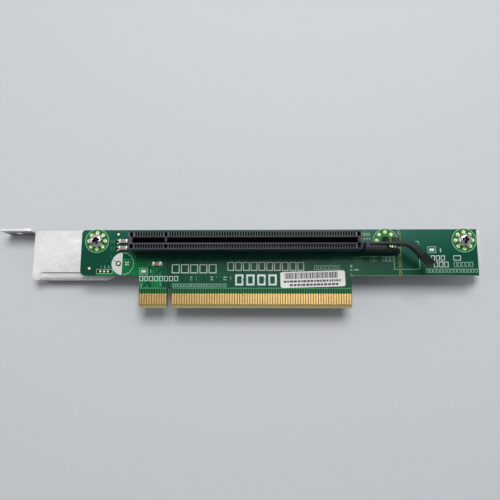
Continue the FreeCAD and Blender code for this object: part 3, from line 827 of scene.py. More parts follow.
def lines(name, chains, width, material, thickness=ink_height):
    """Ribbons on the board along chains of (x, y); one that ends where it starts is closed."""
    vertices = []
    edges = []
    for chain in chains:
        closed = chain[0] == chain[-1]
        places = chain[:-1] if closed else chain
        first = len(vertices)
        vertices += [(x, y, board_face + thickness / 2) for x, y in places]
        edges += [(first + i, first + i + 1) for i in range(len(places) - 1)]
        if closed:
            edges.append((first + len(places) - 1, first))
    return run_tree(mesh_object(name, vertices, edges, []), ribbon_tree, line_width=width,
                    thickness=thickness, finish=material)


def rectangle(x, y, width, height):
    """Closed chain round a rectangle whose centre is at (x, y)."""
    right = width / 2
    up = height / 2
    return [(x - right, y - up), (x + right, y - up), (x + right, y + up), (x - right, y + up),
            (x - right, y - up)]


def slabs(name, outlines, thickness, material):
    """Closed slabs over convex outlines of (x, y, z) places."""
    vertices = []
    faces = []
    for outline in outlines:
        first = len(vertices)
        count = len(outline)
        vertices += outline + [(x, y, z + thickness) for x, y, z in outline]
        faces.append([first + i for i in range(count)][::-1])
        faces.append([first + count + i for i in range(count)])
        for i in range(count):
            j = (i + 1) % count
            faces.append([first + i, first + j, first + count + j, first + count + i])
    thing = mesh_object(name, vertices, [], faces)
    thing.data.materials.append(material)
    return thing


def patch(name, outlines, material, thickness=ink_height):
    """Flat slabs that lie on the board over outlines of (x, y) places."""
    raised = [[(x, y, board_face) for x, y in outline] for outline in outlines]
    return slabs(name, raised, thickness, material)


def disc_outline(x, y, radius, sides=24, start=0.0, turn=2 * math.pi):
    """Places round an arc about (x, y)."""
    steps = sides if turn >= 2 * math.pi else sides + 1
    return [(x + radius * math.cos(start + turn * i / sides),
             y + radius * math.sin(start + turn * i / sides)) for i in range(steps)]


print("drawing helpers ready")

# %% [markdown]
# ## Pads round the fixing holes
# A fixing hole's screw presses on a ring of eight small plated pads, which earth the board's
# copper to the bracket. A thin printed ring marks the area. The third hole is a spare: it has the
# same pads, but the latch covers half of them.

# %% Fixing hole pads
holes = [(hole_left.x, hole_left.y), (hole_spare.x, hole_spare.y), (hole_right.x, hole_right.y)]


def pads_round(name, places):
    """Plated pads in a circle round each hole, lifted just off the lacquer."""
    spots = points_object(name, places, board_face + ink_height / 2)
    return run_tree(spots, circle_tree, count=8, circle_radius=3.36 * mm, radius=0.45 * mm,
                    line_width=0.54 * mm, thickness=ink_height, sides=16, finish=pad_tin)


belong(pads_round("fixing_pads", holes))
belong(rings("fixing_marks", holes, 4.86 * mm, 4.6 * mm, pale_ink, sides=64))

# %% [markdown]
# ## The break-off line
# A row of holes lets the end of the board be snapped off for a shorter card. Each hole is plated,
# so a small tinned ring shows round it.

# %% Break-off rings
break_pitch = 1.375 * mm
break_places = [(break_line_x, board_high.y - i * break_pitch) for i in range(1, 14)]
belong(rings("break_line_rings", break_places, 0.66 * mm, 0.42 * mm, olive_tin, sides=12))


# %% [markdown]
# ## Tracks
# Tracks run from the fingers up to the slot, two fine lines at a time where a pair carries one
# signal. They lie under the lacquer, so they show as slightly raised and slightly lighter lines.
# The paths follow a rule: contacts go in groups of four. The first track runs straight, the next
# two close up to form the pair, run side by side and open again below the slot, and the fourth
# is short, because a ground contact ends in the copper area close by.

# %% Track paths
def track_chains():
    """Paths from the finger tops to the slot, for the contacts of one row."""
    chains = []
    foot = finger_high.y + 0.1 * mm
    crest = slot_low.y + 0.4 * mm
    shifts = (0.0, 0.28 * mm, -0.28 * mm)
    for count, x in enumerate(contact_places(0.0)):
        member = count % 4
        if member == 3:
            chains.append([(x, foot), (x, foot + 2.9 * mm)])
            continue
        inner = x + shifts[member]
        chains.append([(x, foot), (x, foot + 3.6 * mm), (inner, foot + 4.1 * mm),
                       (inner, crest - 1.2 * mm), (x + slot_key_x, crest)])
    return chains


tracks = lines("tracks_front", track_chains(), 0.22 * mm, track_lacquer, thickness=0.02 * mm)
belong(tracks)


# %% [markdown]
# ## The printed legend
# White ink marks where parts go: outlines of the header and of the capacitor that this version
# leaves off, the latch's outline, corner marks and a line above the fingers. The plain numbers
# stand at the header's three pins. Where such a board carries wording, this one has plain boxes
# and bars.

# %% Outlines in white ink
pin_pitch = 1.53
header_pins = [(board_low.x + (8.2 + pin_pitch * i) * mm, 14.5 * mm) for i in range(3)]
capacitor_spot = (board_low.x + 17.1 * mm, 17.6 * mm)
latch_low, latch_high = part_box("card_latch")


def legend_chains():
    """Every thin white line of the legend."""
    x, y = header_pins[1]
    chains = [rectangle(x + 0.1 * mm, y, 6.4 * mm, 1.7 * mm),
              disc_outline(*capacitor_spot, 4.45 * mm, 32, math.radians(-86), math.radians(172))]
    right = break_line_x + 7.7 * mm
    low = 15.3 * mm
    step = 20.4 * mm
    chains.append([(latch_low.x + 3.0 * mm, step), (break_line_x - 2.2 * mm, step),
                   (break_line_x - 2.4 * mm, low), (right, low), (right, step)])
    chains.append([(right - 1.3 * mm, 26.5 * mm), (right - 0.3 * mm, 26.5 * mm),
                   (right + 0.1 * mm, 25.4 * mm)])
    return chains


belong(lines("legend_outlines", legend_chains(), 0.28 * mm, pale_ink))
line_y = 7.78 * mm
tongue_line = [[(tongue_left + 0.2 * mm, line_y), (-1.3 * mm, line_y)],
               [(1.3 * mm, line_y), (tongue_right - 0.2 * mm, line_y)]]
belong(lines("legend_tongue_line", tongue_line, 0.4 * mm, faint_ink))

# %% The half-filled circle of the capacitor
half_disc = disc_outline(*capacitor_spot, 4.5 * mm, 32, math.radians(91), math.radians(176))
belong(patch("legend_capacitor_half", [half_disc], grey_ink, thickness=0.02 * mm))


# %% Plain numbers at the header's pins
def digit(text, x, y, height):
    """One printed figure, centred on (x, y)."""
    curve = bpy.data.curves.new("digit_" + text, "FONT")
    curve.body = text
    curve.size = height * 1.4
    curve.align_x = "CENTER"
    curve.align_y = "CENTER"
    curve.extrude = ink_height / 2
    written = object_of("digit_" + text, curve)
    bpy.context.view_layer.update()
    mesh = bpy.data.meshes.new_from_object(written)
    mesh.transform(Matrix.Translation((x, y, board_face + ink_height / 2)))
    bpy.data.objects.remove(written)
    mesh.materials.clear()
    mesh.materials.append(pale_ink)
    return object_of("figure_" + text, mesh)


figures = [digit(str(i + 1), x + 0.2 * mm, y + 1.75 * mm, 1.05 * mm)
           for i, (x, y) in enumerate(header_pins)]
belong(join_meshes("legend_pin_numbers", figures))

# %% [markdown]
# The header's pads are gold rings with a bright centre. The empty capacitor place has one plated
# hole and one pad with a cross cut in it, which keeps solder from pulling heat into the plane.

# %% Header pads and lead holes
belong(rings("header_pads", header_pins, 0.44 * mm, 0.08 * mm, pad_tin, sides=16))
lead_holes = [(board_low.x + (15.35 + 3.5 * i) * mm, 17.7 * mm) for i in range(2)]
belong(rings("lead_hole_clear_ring", lead_holes[:1], 1.1 * mm, 0.62 * mm, dark_laminate, sides=24,
             thickness=0.035 * mm))
belong(rings("lead_hole_land", lead_holes[:1], 0.62 * mm, 0.12 * mm, solder, sides=20,
             thickness=0.05 * mm))


def cross_pad(x, y):
    """Four arms about a hole."""
    arms = []
    for quarter in range(4):
        angle = math.radians(45 + 90 * quarter)
        along = Vector((math.cos(angle), math.sin(angle)))
        across = Vector((-along.y, along.x))
        near = 0.35 * mm
        far = 0.92 * mm
        half = 0.2 * mm
        centre = Vector((x, y))
        corners = [centre + along * near - across * half, centre + along * far - across * half,
                   centre + along * far + across * half, centre + along * near + across * half]
        arms.append([tuple(corner) for corner in corners])
    return patch("cross_arms", arms, pad_tin)


cross_ring = rings("cross_ring", lead_holes[1:], 0.5 * mm, 0.3 * mm, pad_tin, sides=20)
belong(join_meshes("lead_hole_cross", [cross_ring, cross_pad(*lead_holes[1])]))

# %% [markdown]
# ## Alignment marks and vias
# Assembly machines find the board by bare copper dots in a clear circle. The vias are the small
# plated holes that carry a track through the board; a few of them sit in clusters below the slot.

# %% Alignment dots
dot_places = [(board_low.x + 14.9 * mm, 29.64 * mm), (board_low.x + 3.65 * mm, 15.72 * mm)]
dots = patch("dots", [disc_outline(x, y, 0.5 * mm, 20) for x, y in dot_places], pad_tin,
             thickness=0.05 * mm)
belong(dots)
clear_rings = rings("alignment_clear_rings", dot_places, 0.95 * mm, 0.5 * mm, dark_laminate,
                    sides=28, thickness=0.02 * mm)
belong(clear_rings)

# %% Vias
random.seed(11)


def via_places():
    """Small clusters below the slot and a scatter over the board's two ends."""
    places = []
    for cluster in range(8):
        x = 8.0 * mm + cluster * 7.4 * mm + random.uniform(-1.2, 1.2) * mm
        y = 10.6 * mm if cluster < 5 else 19.2 * mm
        for i in range(random.randint(2, 4)):
            places.append((x + 0.85 * mm * (i % 2), y + 0.85 * mm * (i // 2)))
    for i in range(16):
        end = random.choice([(board_low.x + 6 * mm, 10 * mm), (break_line_x + 4 * mm, 18 * mm)])
        places.append((end[0] + random.uniform(0, 1) * end[1],
                       random.uniform(14.5, 30.0) * mm))
    clear = 5.4 * mm
    return [p for p in places if min(math.dist(p, hole) for hole in holes) > clear]


belong(rings("via_rings", via_places(), 0.3 * mm, 0.1 * mm, track_lacquer, sides=10))


# %% [markdown]
# ## Plain marks in place of wording
# Boards like this carry a lot of print between the slot and the fingers. Here those places hold
# plain things: rows of empty boxes of several sizes, four of them bold, and a few dashes. Every
# row is one line of the table below.

# %% Rows of empty boxes
def box_row(left, right, low, high, width, pitch):
    """Rectangles of one row, in millimetres, set out from its left end."""
    slack = 0.01
    cells = []
    x = left
    while x + width <= right + slack:
        cells.append(rectangle((x + width / 2) * mm, (low + high) / 2 * mm, width * mm,
                               (high - low) * mm))
        x += pitch
    return cells


box_rows = [
    # name, stroke, ink, rows of (left, right, low, high, width, pitch)
    ("legend_boxes_large", 0.46, legend_ink, [(0.9, 20.6, 13.9, 17.2, 2.8, 3.7)]),
    ("legend_boxes_tall", 0.40, legend_ink, [(23.2, 56.4, 14.9, 18.1, 2.3, 3.1)]),
    ("legend_boxes_middle", 0.34, legend_ink, [(-12.1, 4.6, 10.7, 12.5, 1.3, 2.0),
                                               (112.6, 115.3, 18.9, 20.7, 2.7, 3.0),
                                               (103.8, 110.6, 18.9, 20.7, 1.3, 1.95),
                                               (104.8, 110.9, 16.2, 18.2, 1.4, 2.05)]),
    ("legend_boxes_small", 0.26, pale_ink, [(57.6, 67.9, 15.2, 16.8, 1.0, 1.5),
                                            (112.6, 121.4, 16.3, 18.1, 1.1, 1.55),
                                            (101.7, 121.8, 14.1, 15.4, 0.9, 1.35),
                                            (1.0, 23.4, 8.3, 9.5, 0.8, 1.3),
                                            (77.4, 80.2, 28.9, 29.8, 0.6, 0.95),
                                            (79.9, 82.9, 18.5, 20.2, 1.1, 1.6),
                                            (84.7, 88.9, 18.5, 20.2, 1.1, 1.5)]),
    # painted shadow: this row continues the pale rows at 18.5 to 20.2 mm, and its darker ink paints
    # the slot's shadow over it
    ("legend_boxes_faint", 0.26, faint_ink, [(64.7, 77.4, 18.5, 20.2, 1.2, 1.75)]),
]
for name, stroke, ink, rows in box_rows:
    cells = [cell for row in rows for cell in box_row(*row)]
    belong(lines(name, cells, stroke * mm, ink))

# %% Bold boxes, marks and dashes
bold_boxes = [rectangle((27.8 + 4.4 * i) * mm, 11.05 * mm, 2.6 * mm, 3.7 * mm) for i in range(4)]
belong(lines("legend_boxes_bold", bold_boxes, 1.1 * mm, legend_ink))

framed_marks = [(-10.6, 14.6), (104.2, 23.1)]
frames = [rectangle(x * mm, y * mm, 3.1 * mm, 2.4 * mm) for x, y in framed_marks]
belong(lines("legend_frames", frames, 0.34 * mm, pale_ink))
blocks = [rectangle(x * mm, y * mm, 1.9 * mm, 1.1 * mm)[:-1] for x, y in framed_marks]
belong(patch("legend_blocks", blocks, legend_ink))


# dashes as (x, y, width, height) in millimetres
dash_sizes = [(-7.6, 14.6, 0.5, 1.6), (107.6, 22.9, 0.5, 1.6), (-11.4, 8.9, 0.5, 1.4),
              (-3.6, 9.3, 0.5, 1.3), (8.6, 12.2, 0.9, 0.4), (8.6, 11.2, 0.9, 0.4),
              (10.6, 12.2, 0.4, 0.4), (10.6, 11.2, 0.4, 0.4), (16.8, 12.2, 1.1, 0.4),
              (16.8, 11.2, 1.1, 0.4), (18.6, 12.2, 0.4, 0.4), (22.2, 12.2, 1.5, 0.4),
              (22.2, 11.2, 1.5, 0.4), (24.3, 11.8, 0.4, 1.6), (72.2, 16.6, 0.8, 1.1),
              (72.2, 15.0, 0.8, 0.5), (74.2, 15.1, 1.6, 0.5), (72.0, 13.3, 0.7, 0.3),
              (77.7, 27.6, 0.5, 0.5), (78.8, 27.6, 0.5, 0.5), (79.8, 27.6, 0.5, 0.5)]
dashes = [rectangle(x * mm, y * mm, w * mm, h * mm)[:-1] for x, y, w, h in dash_sizes]
belong(patch("legend_dashes", dashes, pale_ink, thickness=0.02 * mm))

# %% [markdown]
# Beside the small parts stand a few faint marks: brackets at both ends of the centre capacitor,
# two small plus signs at the round one, and a plated hole at the left end of each of the others.
# Each hole is drawn as a dark disc with a tin land on its right half only: the disc and the missing
# left half are painted shade.

# %% Marks beside the small parts
def bracket_pair(node, gap, serif):
    """Square brackets standing off both ends of a chip."""
    low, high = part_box(node)
    pair = []
    for x, inward in ((low.x - gap, serif), (high.x + gap, -serif)):
        pair.append([(x + inward, high.y + 0.3 * mm), (x, high.y + 0.3 * mm),
                     (x, low.y - 0.3 * mm), (x + inward, low.y - 0.3 * mm)])
    return pair


def plus_sign(x, y, reach):
    """Two crossed strokes."""
    return [[(x - reach, y), (x + reach, y)], [(x, y - reach), (x, y + reach)]]


small_marks = bracket_pair("capacitor_centre_terminals", 0.55 * mm, 0.4 * mm)
for y in (20.5 * mm, 17.7 * mm):
    small_marks += plus_sign(capacitor_spot[0] + 5.1 * mm, y, 0.4 * mm)
side_vias = []
for node in ("capacitor_upper_terminals", "capacitor_lower_terminals"):
    low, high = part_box(node)
    y = (low.y + high.y) / 2
    for x in (low.x - 3.2 * mm, low.x - 2.3 * mm):
        small_marks.append([(x, y + 0.5 * mm), (x, y - 0.5 * mm)])
    side_vias.append((low.x - 0.95 * mm, y - 0.15 * mm))
x = capacitor_spot[0] - 4.9 * mm
small_marks.append([(x, 20.3 * mm), (x, 21.2 * mm)])
belong(lines("legend_small_marks", small_marks, 0.22 * mm, faint_ink))

# painted shade: a dark disc stands for the via's hole and the left half of its land, which lies in
# shade
belong(rings("side_via_dark", side_vias, 0.62 * mm, 0.0, dark_via, sides=16, thickness=0.02 * mm))
side_arcs = [disc_outline(x, y, 0.72 * mm, 12, math.radians(-100), math.radians(200))
             for x, y in side_vias]
belong(lines("side_via_lands", side_arcs, 0.28 * mm, pad_tin))

# %% [markdown]
# ## Springs in the slot
# Every chamber holds a bent spring that leans into the slit and touches the card. Each is one
# curved strip, so a tree sweeps a flat profile along two Bezier curves, root to crown and tip to
# crown, and stamps the result on the contact places. The far row is the same spring turned round.

# %% Spring tree
def make_spring_tree():
    inputs = {"Root": ("NodeSocketVector", None), "Crown": ("NodeSocketVector", None),
              "Tip": ("NodeSocketVector", None), "Turn": ("NodeSocketVector", None)}
    tree, start, end = new_tree("spring", {**inputs, **line_inputs})
    join = add_node(tree, "GeometryNodeJoinGeometry")
    for first, second in (("Root", "Crown"), ("Tip", "Crown")):
        curve = set_inputs(add_node(tree, "GeometryNodeCurvePrimitiveBezierSegment"),
                           {"Resolution": 5})
        tree.links.new(start.outputs[first], curve.inputs["Start"])
        tree.links.new(start.outputs[first], curve.inputs["Start Handle"])
        tree.links.new(start.outputs[second], curve.inputs["End"])
        below = add_node(tree, "ShaderNodeVectorMath", operation="ADD")
        reach = -1.2 * mm if first == "Root" else 0.6 * mm
        below.inputs[1].default_value = (0, 0, reach)
        tree.links.new(start.outputs[second], below.inputs[0])
        tree.links.new(below.outputs[0], curve.inputs["End Handle"])
        tree.links.new(sweep(tree, curve.outputs[0], flat_profile(tree, start)), join.inputs[0])
    springs = stamp(tree, start.outputs["Geometry"], join.outputs[0])
    tree.links.new(start.outputs["Turn"], springs.inputs["Rotation"])
    return end_tree(tree, start, end, springs.outputs[0])


spring_tree = make_spring_tree()
print("tree", spring_tree.name, "with", len(spring_tree.nodes), "nodes")


# %% Springs of both rows
def springs(name, turn, node):
    """One row of springs; turn is the rotation about Z that faces it into the slit."""
    sill = slot_high.z - 8.8 * mm
    crown = slot_high.z - 3.0 * mm
    spots = points_object(name, [(x, slot_middle_y) for x in contact_places(slot_key_x)], 0.0)
    made = run_tree(spots, spring_tree, root=(0, 2.6 * mm, sill), crown=(0, 0.95 * mm, crown),
                    tip=(0, 1.85 * mm, slot_high.z - 1.6 * mm), turn=(0, 0, turn),
                    line_width=0.16 * mm, thickness=0.5 * mm, finish=contact_metal)
    return belong(made, replaces=[node])


springs("contact_springs_upper", 0.0, "slot_contacts_upper")
springs("contact_springs_lower", math.pi, "slot_contacts_lower")


# %% [markdown]
# ## Solder on the back
# The springs' tails come through the board and are soldered: each joint is a bright cone that
# climbs the tail, whose cut tip stands out of it. A tree stamps a cone and a tip on every place.

# %% Solder tree
def make_solder_tree():
    inputs = {"Foot Radius": ("NodeSocketFloat", 0.5 * mm),
              "Neck Radius": ("NodeSocketFloat", 0.2 * mm),
              "Cone Height": ("NodeSocketFloat", 0.8 * mm), "Tail": ("NodeSocketFloat", 1.2 * mm),
              "Finish": ("NodeSocketMaterial", None)}
    tree, start, end = new_tree("solder_joint", inputs)
    cone = set_inputs(add_node(tree, "GeometryNodeMeshCone"), {"Vertices": 10})
    for label, socket in (("Foot Radius", "Radius Bottom"), ("Neck Radius", "Radius Top"),
                          ("Cone Height", "Depth")):
        tree.links.new(start.outputs[label], cone.inputs[socket])
    tail = set_inputs(add_node(tree, "GeometryNodeMeshCone"),
                      {"Vertices": 6, "Radius Bottom": 0.17 * mm, "Radius Top": 0.11 * mm})
    tree.links.new(start.outputs["Tail"], tail.inputs["Depth"])
    join = add_node(tree, "GeometryNodeJoinGeometry")
    tree.links.new(cone.outputs[0], join.inputs[0])
    tree.links.new(tail.outputs[0], join.inputs[0])
    joints = stamp(tree, start.outputs["Geometry"], join.outputs[0])
    joints.inputs["Rotation"].default_value = (math.pi, 0, 0)
    return end_tree(tree, start, end, joints.outputs[0])


def solder_places():
    """Two staggered lines of joints for each row of contacts."""
    places = []
    for side in (1, -1):
        for count, x in enumerate(contact_places(slot_key_x)):
            offset = 1.25 * mm if count % 2 else 3.0 * mm
            places.append((x, slot_middle_y + side * offset))
    return places


joints = points_object("solder_cones", solder_places(), board_back)
run_tree(joints, make_solder_tree(), foot_radius=0.44 * mm, neck_radius=0.2 * mm,
         cone_height=0.75 * mm, tail=1.25 * mm, finish=solder)
smooth_by_angle(joints, 50)
belong(joints, replaces=["solder_joints"])


# %% [markdown]
# ## Moulded and folded parts
# The slot, the standoffs and the bracket are right in shape, but a CAD edge is infinitely sharp.
# Real edges catch the light. So each gets a merged copy of its mesh with a small Bevel, and the
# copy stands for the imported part. The board's copy gets only its tongue's corners rounded.

# %% Bevelled copies
merge_distance = 0.001 * mm
flat_angle = math.radians(1)


def merged_copy(node, name, rework=None):
    """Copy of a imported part, its flat faces made whole; rework may then change its bmesh."""
    mesh = nodes[node].data.copy()
    thing = object_of(name, mesh)
    shape = bmesh.new()
    shape.from_mesh(mesh)
    bmesh.ops.remove_doubles(shape, verts=shape.verts, dist=merge_distance)
    bmesh.ops.dissolve_limit(shape, angle_limit=flat_angle, verts=shape.verts, edges=shape.edges)
    if rework:
        rework(shape)
    shape.to_mesh(mesh)
    shape.free()
    return thing


def soften(node, name, width, segments):
    """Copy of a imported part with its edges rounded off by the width."""
    return smooth_by_angle(round_edges(merged_copy(node, name), width, segments))


belong(soften("slot_housing", "slot_body", 0.05 * mm, 1), slot_plastic,
       ["slot_housing"])
belong(soften("mounting_bracket", "bracket_sheet", 0.1 * mm, 2), zinc_steel,
       ["mounting_bracket"])
for side in ("left", "right"):
    belong(soften("standoff_" + side, "standoff_body_" + side, 0.06 * mm, 2),
           standoff_steel, ["standoff_" + side])


# %% Board with rounded tongue corners
def round_tongue(shape):
    """Rounds the tongue's upright corners, at its two ends and at the notch."""
    for low_x, high_x, radius in ((-20 * mm, -8 * mm, 0.8 * mm), (60 * mm, 80 * mm, 0.8 * mm),
                                  (-1.5 * mm, 1.5 * mm, 0.5 * mm)):
        corners = [edge for edge in shape.edges
                   if all(low_x < v.co.x < high_x and v.co.y < 0.01 * mm for v in edge.verts)
                   and abs(edge.verts[0].co.z - edge.verts[1].co.z) > 0.1 * mm]
        bmesh.ops.bevel(shape, geom=corners, offset=radius, segments=4, profile=0.5,
                        affect="EDGES")
        print("rounded", len(corners), "corners")


board_sheet = merged_copy("circuit_board", "board_sheet", round_tongue)
belong(board_sheet, solder_mask, ["circuit_board"])


# %% [markdown]
# ## The latch
# One moulding: a tongue that plugs into the slot's end, an upright root, a thin spring arm with a
# hook and a sloping finger grip, and a foot that braces the root and ends in a peg. Each of them
# is an outline pushed out into a closed solid. A Boolean joins them into one moulding, because
# faces that lie in one plane would shade each other, and a Bevel then softens its edges.

# %% Pushed-out solids
def pushed_out(outline, push):
    """Closed solid over a flat outline, pushed out by a vector."""
    count = len(outline)
    corners = [Vector(corner) for corner in outline]
    faces = [list(range(count)), [count + i for i in range(count)][::-1]]
    faces += [[i, count + i, count + (i + 1) % count, (i + 1) % count] for i in range(count)]
    thing = mesh_object("moulded", corners + [corner + push for corner in corners], [], faces)
    shape = bmesh.new()
    shape.from_mesh(thing.data)
    bmesh.ops.recalc_face_normals(shape, faces=shape.faces)
    shape.to_mesh(thing.data)
    shape.free()
    return thing


latch_top = slot_high.z


def one_moulding(name, solids, width):
    """Union of the solids, its edges rounded off by the width, none above the top."""
    whole = combine(solids[0], solids[1:], "UNION")
    whole.name = name
    round_edges(whole, width, 2)
    for vertex in whole.data.vertices:
        vertex.co.z = min(vertex.co.z, latch_top)
    return smooth_by_angle(whole)


print("solids are pushed out of flat outlines")


# %% Latch arm and grip
root_left = slot_high.x + 1.2 * mm
root_right = root_left + 1.6 * mm
latch_near = slot_low.y
latch_far = slot_low.y + 2.95 * mm
arm_middle = latch_far - 0.475 * mm
bend_turn = math.radians(42)
bend_corner = Vector((slot_high.x + 17.75 * mm, arm_middle, 0))
bend_radius = 5.5 * mm
arm_along = Vector((math.cos(bend_turn), -math.sin(bend_turn), 0))
arm_across = Vector((math.sin(bend_turn), math.cos(bend_turn), 0))
arm_half = 0.775 * mm


def bend_arc(radius, back):
    """Places round the arm's bend, from its level part to its far part or back."""
    centre = bend_corner + Vector((-bend_radius * math.tan(bend_turn / 2), -bend_radius, 0))
    steps = range(8, -1, -1) if back else range(9)
    angles = [math.pi / 2 - bend_turn * i / 8 for i in steps]
    return [(centre.x + radius * math.cos(a), centre.y + radius * math.sin(a)) for a in angles]


def latch_arm():
    """Thin at the root, thicker past the hook, then bent towards the edge fingers."""
    end = bend_corner + arm_along * 6.6 * mm
    low_end = end - arm_across * arm_half
    high_end = end + arm_across * arm_half
    step = root_right + 10.5 * mm
    outline = [(root_left, latch_far - 0.95 * mm), (step, latch_far - 0.95 * mm),
               (step + 0.5 * mm, bend_corner.y - arm_half)]
    outline += bend_arc(bend_radius - arm_half, False)
    outline += [(low_end.x, low_end.y), (high_end.x, high_end.y)]
    outline += bend_arc(bend_radius + arm_half, True)
    outline += [(step + 0.5 * mm, bend_corner.y + arm_half), (step, latch_far),
                (root_left, latch_far)]
    depth = 3.75 * mm
    return pushed_out([(x, y, latch_top - depth) for x, y in outline], Vector((0, 0, depth)))


def latch_grip():
    """Deeper than the arm, its top sloping to the near side."""
    near = bend_corner + arm_along * 6.1 * mm
    crest = near + arm_across * arm_half
    brow = near - arm_across * arm_half
    base = latch_top - 5.75 * mm
    profile = [(crest.x, crest.y, latch_top), (brow.x, brow.y, latch_top - 1.6 * mm),
               (brow.x, brow.y, base), (crest.x, crest.y, base)]
    return pushed_out(profile, arm_along * 5.7 * mm)


print("the arm bends by", round(math.degrees(bend_turn)), "degrees")


# %% Latch hook, foot and root
def latch_hook():
    """Holds the card down; its upper side leads the card in."""
    x = root_right + 8.9 * mm
    far = latch_far + 2.2 * mm
    base = latch_top - 3.2 * mm
    profile = [(x, arm_middle, latch_top), (x, latch_far, latch_top),
               (x, far, latch_top - 2.5 * mm), (x, far, base), (x, arm_middle, base)]
    return pushed_out(profile, Vector((2.8 * mm, 0, 0)))


def latch_foot():
    """Level at first, then falling steeply and gently to its toe."""
    y = latch_near
    toe = root_right + 13.4 * mm
    profile = [(root_left, y, board_face), (toe, y, board_face), (toe, y, board_face + 2.4 * mm),
               (root_right + 8.6 * mm, y, board_face + 6.4 * mm),
               (root_right + 6.2 * mm, y, latch_top), (root_left, y, latch_top)]
    return pushed_out(profile, Vector((0, 1.65 * mm, 0)))


def latch_block(low, high):
    """Upright block between two corners."""
    outline = [(low.x, low.y), (high.x, low.y), (high.x, high.y), (low.x, high.y)]
    return pushed_out([(x, y, low.z) for x, y in outline], Vector((0, 0, high.z - low.z)))


root = latch_block(Vector((root_left, latch_near, board_face)),
                   Vector((root_right, latch_far, latch_top)))
tongue = latch_block(Vector((slot_high.x - 1.8 * mm, slot_middle_y - 2.95 * mm, board_face)),
                     Vector((root_left, slot_middle_y - 1.1 * mm, board_face + 7.2 * mm)))
peg_round = disc_outline(root_right + 11.2 * mm, latch_near + 0.825 * mm, 0.75 * mm, 12)
peg = pushed_out([(x, y, board_back - 0.8 * mm) for x, y in peg_round], Vector((0, 0, 2.4 * mm)))
moulding = one_moulding("latch_body", [root, latch_arm(), latch_grip(), latch_hook(), latch_foot(),
                                       tongue, peg], 0.13 * mm)
belong(moulding, latch_plastic, ["card_latch"])


# %% [markdown]
# ## Screw heads
# A pan head is a turned shape: a flat-sided rim, a domed top and a cross recess pressed into it.
# The dome is spun from its half profile, and the recess is cut with a Boolean by a cross-shaped
# punch that narrows as it goes down.

# %% Turned shapes
def turned(name, profile, centre, sides):
    """Closed shape spun about an upright axis; the profile's (radius, z) starts and ends at 0."""
    vertices = []
    faces = []
    inner = profile[1:-1]
    vertices.append((centre.x, centre.y, profile[0][1]))
    for radius, z in inner:
        for i in range(sides):
            angle = 2 * math.pi * i / sides
            vertices.append((centre.x + radius * math.cos(angle),
                             centre.y + radius * math.sin(angle), z))
    vertices.append((centre.x, centre.y, profile[-1][1]))
    last = len(vertices) - 1
    for i in range(sides):
        j = (i + 1) % sides
        faces.append([0, 1 + j, 1 + i])
        for ring in range(len(inner) - 1):
            low = 1 + ring * sides
            high = low + sides
            faces.append([low + i, low + j, high + j, high + i])
        top = 1 + (len(inner) - 1) * sides
        faces.append([top + i, top + j, last])
    return mesh_object(name, vertices, [], faces)


def cross_punch(centre, top, depth, turn):
    """Cross-shaped punch that narrows downwards, as one closed mesh for each wing pair."""
    wings = []
    for quarter in range(2):
        rotation = Matrix.Rotation(turn + quarter * math.pi / 2, 3, "Z")
        vertices = []
        for z, length, width in ((top + 0.5 * mm, 2.0 * mm, 0.62 * mm),
                                 (top - depth, 0.60 * mm, 0.34 * mm)):
            for x, y in ((-length, -width), (length, -width), (length, width), (-length, width)):
                vertices.append(centre + rotation @ Vector((x, y, 0)) + Vector((0, 0, z)))
        faces = [(0, 1, 2, 3), (7, 6, 5, 4), (4, 5, 1, 0), (5, 6, 2, 1), (6, 7, 3, 2), (7, 4, 0, 3)]
        wings.append(mesh_object("wing", vertices, [], faces))
    return wings


print("turned shapes and the recess's punch ready")


# %% Screws
def pan_head_screw(name, node, turn):
    """Pan head screw with a cross recess and a plain shank."""
    low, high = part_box(node)
    centre = Vector(((low.x + high.x) / 2, (low.y + high.y) / 2, 0))
    head = (high.x - low.x) / 2
    shank = 1.48 * mm
    rim = board_face + 0.75 * mm
    rise = high.z - rim
    dome_draw = 0.62
    profile = [(0, low.z), (shank * 0.8, low.z), (shank, low.z + 0.3 * mm), (shank, board_face),
               (head * 0.97, board_face), (head, board_face + 0.12 * mm), (head, rim)]
    for step in range(1, 7):
        angle = math.radians(15 * step)
        radius = head * (1 - dome_draw * (1 - math.cos(angle)))
        profile.append((radius, rim + rise * math.sin(angle)))
    profile.append((0, high.z))
    screw = turned(name, profile, centre, sides=40)
    combine(screw, cross_punch(centre, high.z, 1.35 * mm, turn), "DIFFERENCE")
    smooth_by_angle(screw, 35)
    return belong(screw, screw_steel, [node])


pan_head_screw("pan_screw_left", "screw_left", math.radians(24))
pan_head_screw("pan_screw_right", "screw_right", math.radians(-12))


# %% [markdown]
# ## Chip capacitors
# A chip capacitor is a fired ceramic block with plated caps on both ends. Solder climbs each cap
# in a small hollow slope, and that slope is what the eye takes for the part's bright ends.

# %% Chips
def rounded_block(name, low, high, width, material):
    """Block with rounded edges between two corners."""
    corners = [Vector((x, y, z)) for z in (low.z, high.z) for y in (low.y, high.y)
               for x in (low.x, high.x)]
    faces = [(0, 2, 3, 1), (4, 5, 7, 6), (0, 1, 5, 4), (2, 6, 7, 3), (0, 4, 6, 2), (1, 3, 7, 5)]
    block = round_edges(mesh_object(name, corners, [], faces), width, 3)
    block.data.materials.append(material)
    return smooth_by_angle(block)


def solder_slope(x, y, width, height, outward):
    """Hollow slope of solder from the cap's face down to its pad."""
    steps = 6
    reach = 0.5 * mm
    near = y - width / 2
    profile = []
    for i in range(steps + 1):
        share = i / steps
        profile.append((x + outward * reach * share, near, board_face + height * (1 - share) ** 2))
    profile.append((x, near, board_face))
    slope = pushed_out(profile, Vector((0, width, 0)))
    slope.data.materials.append(solder)
    return slope


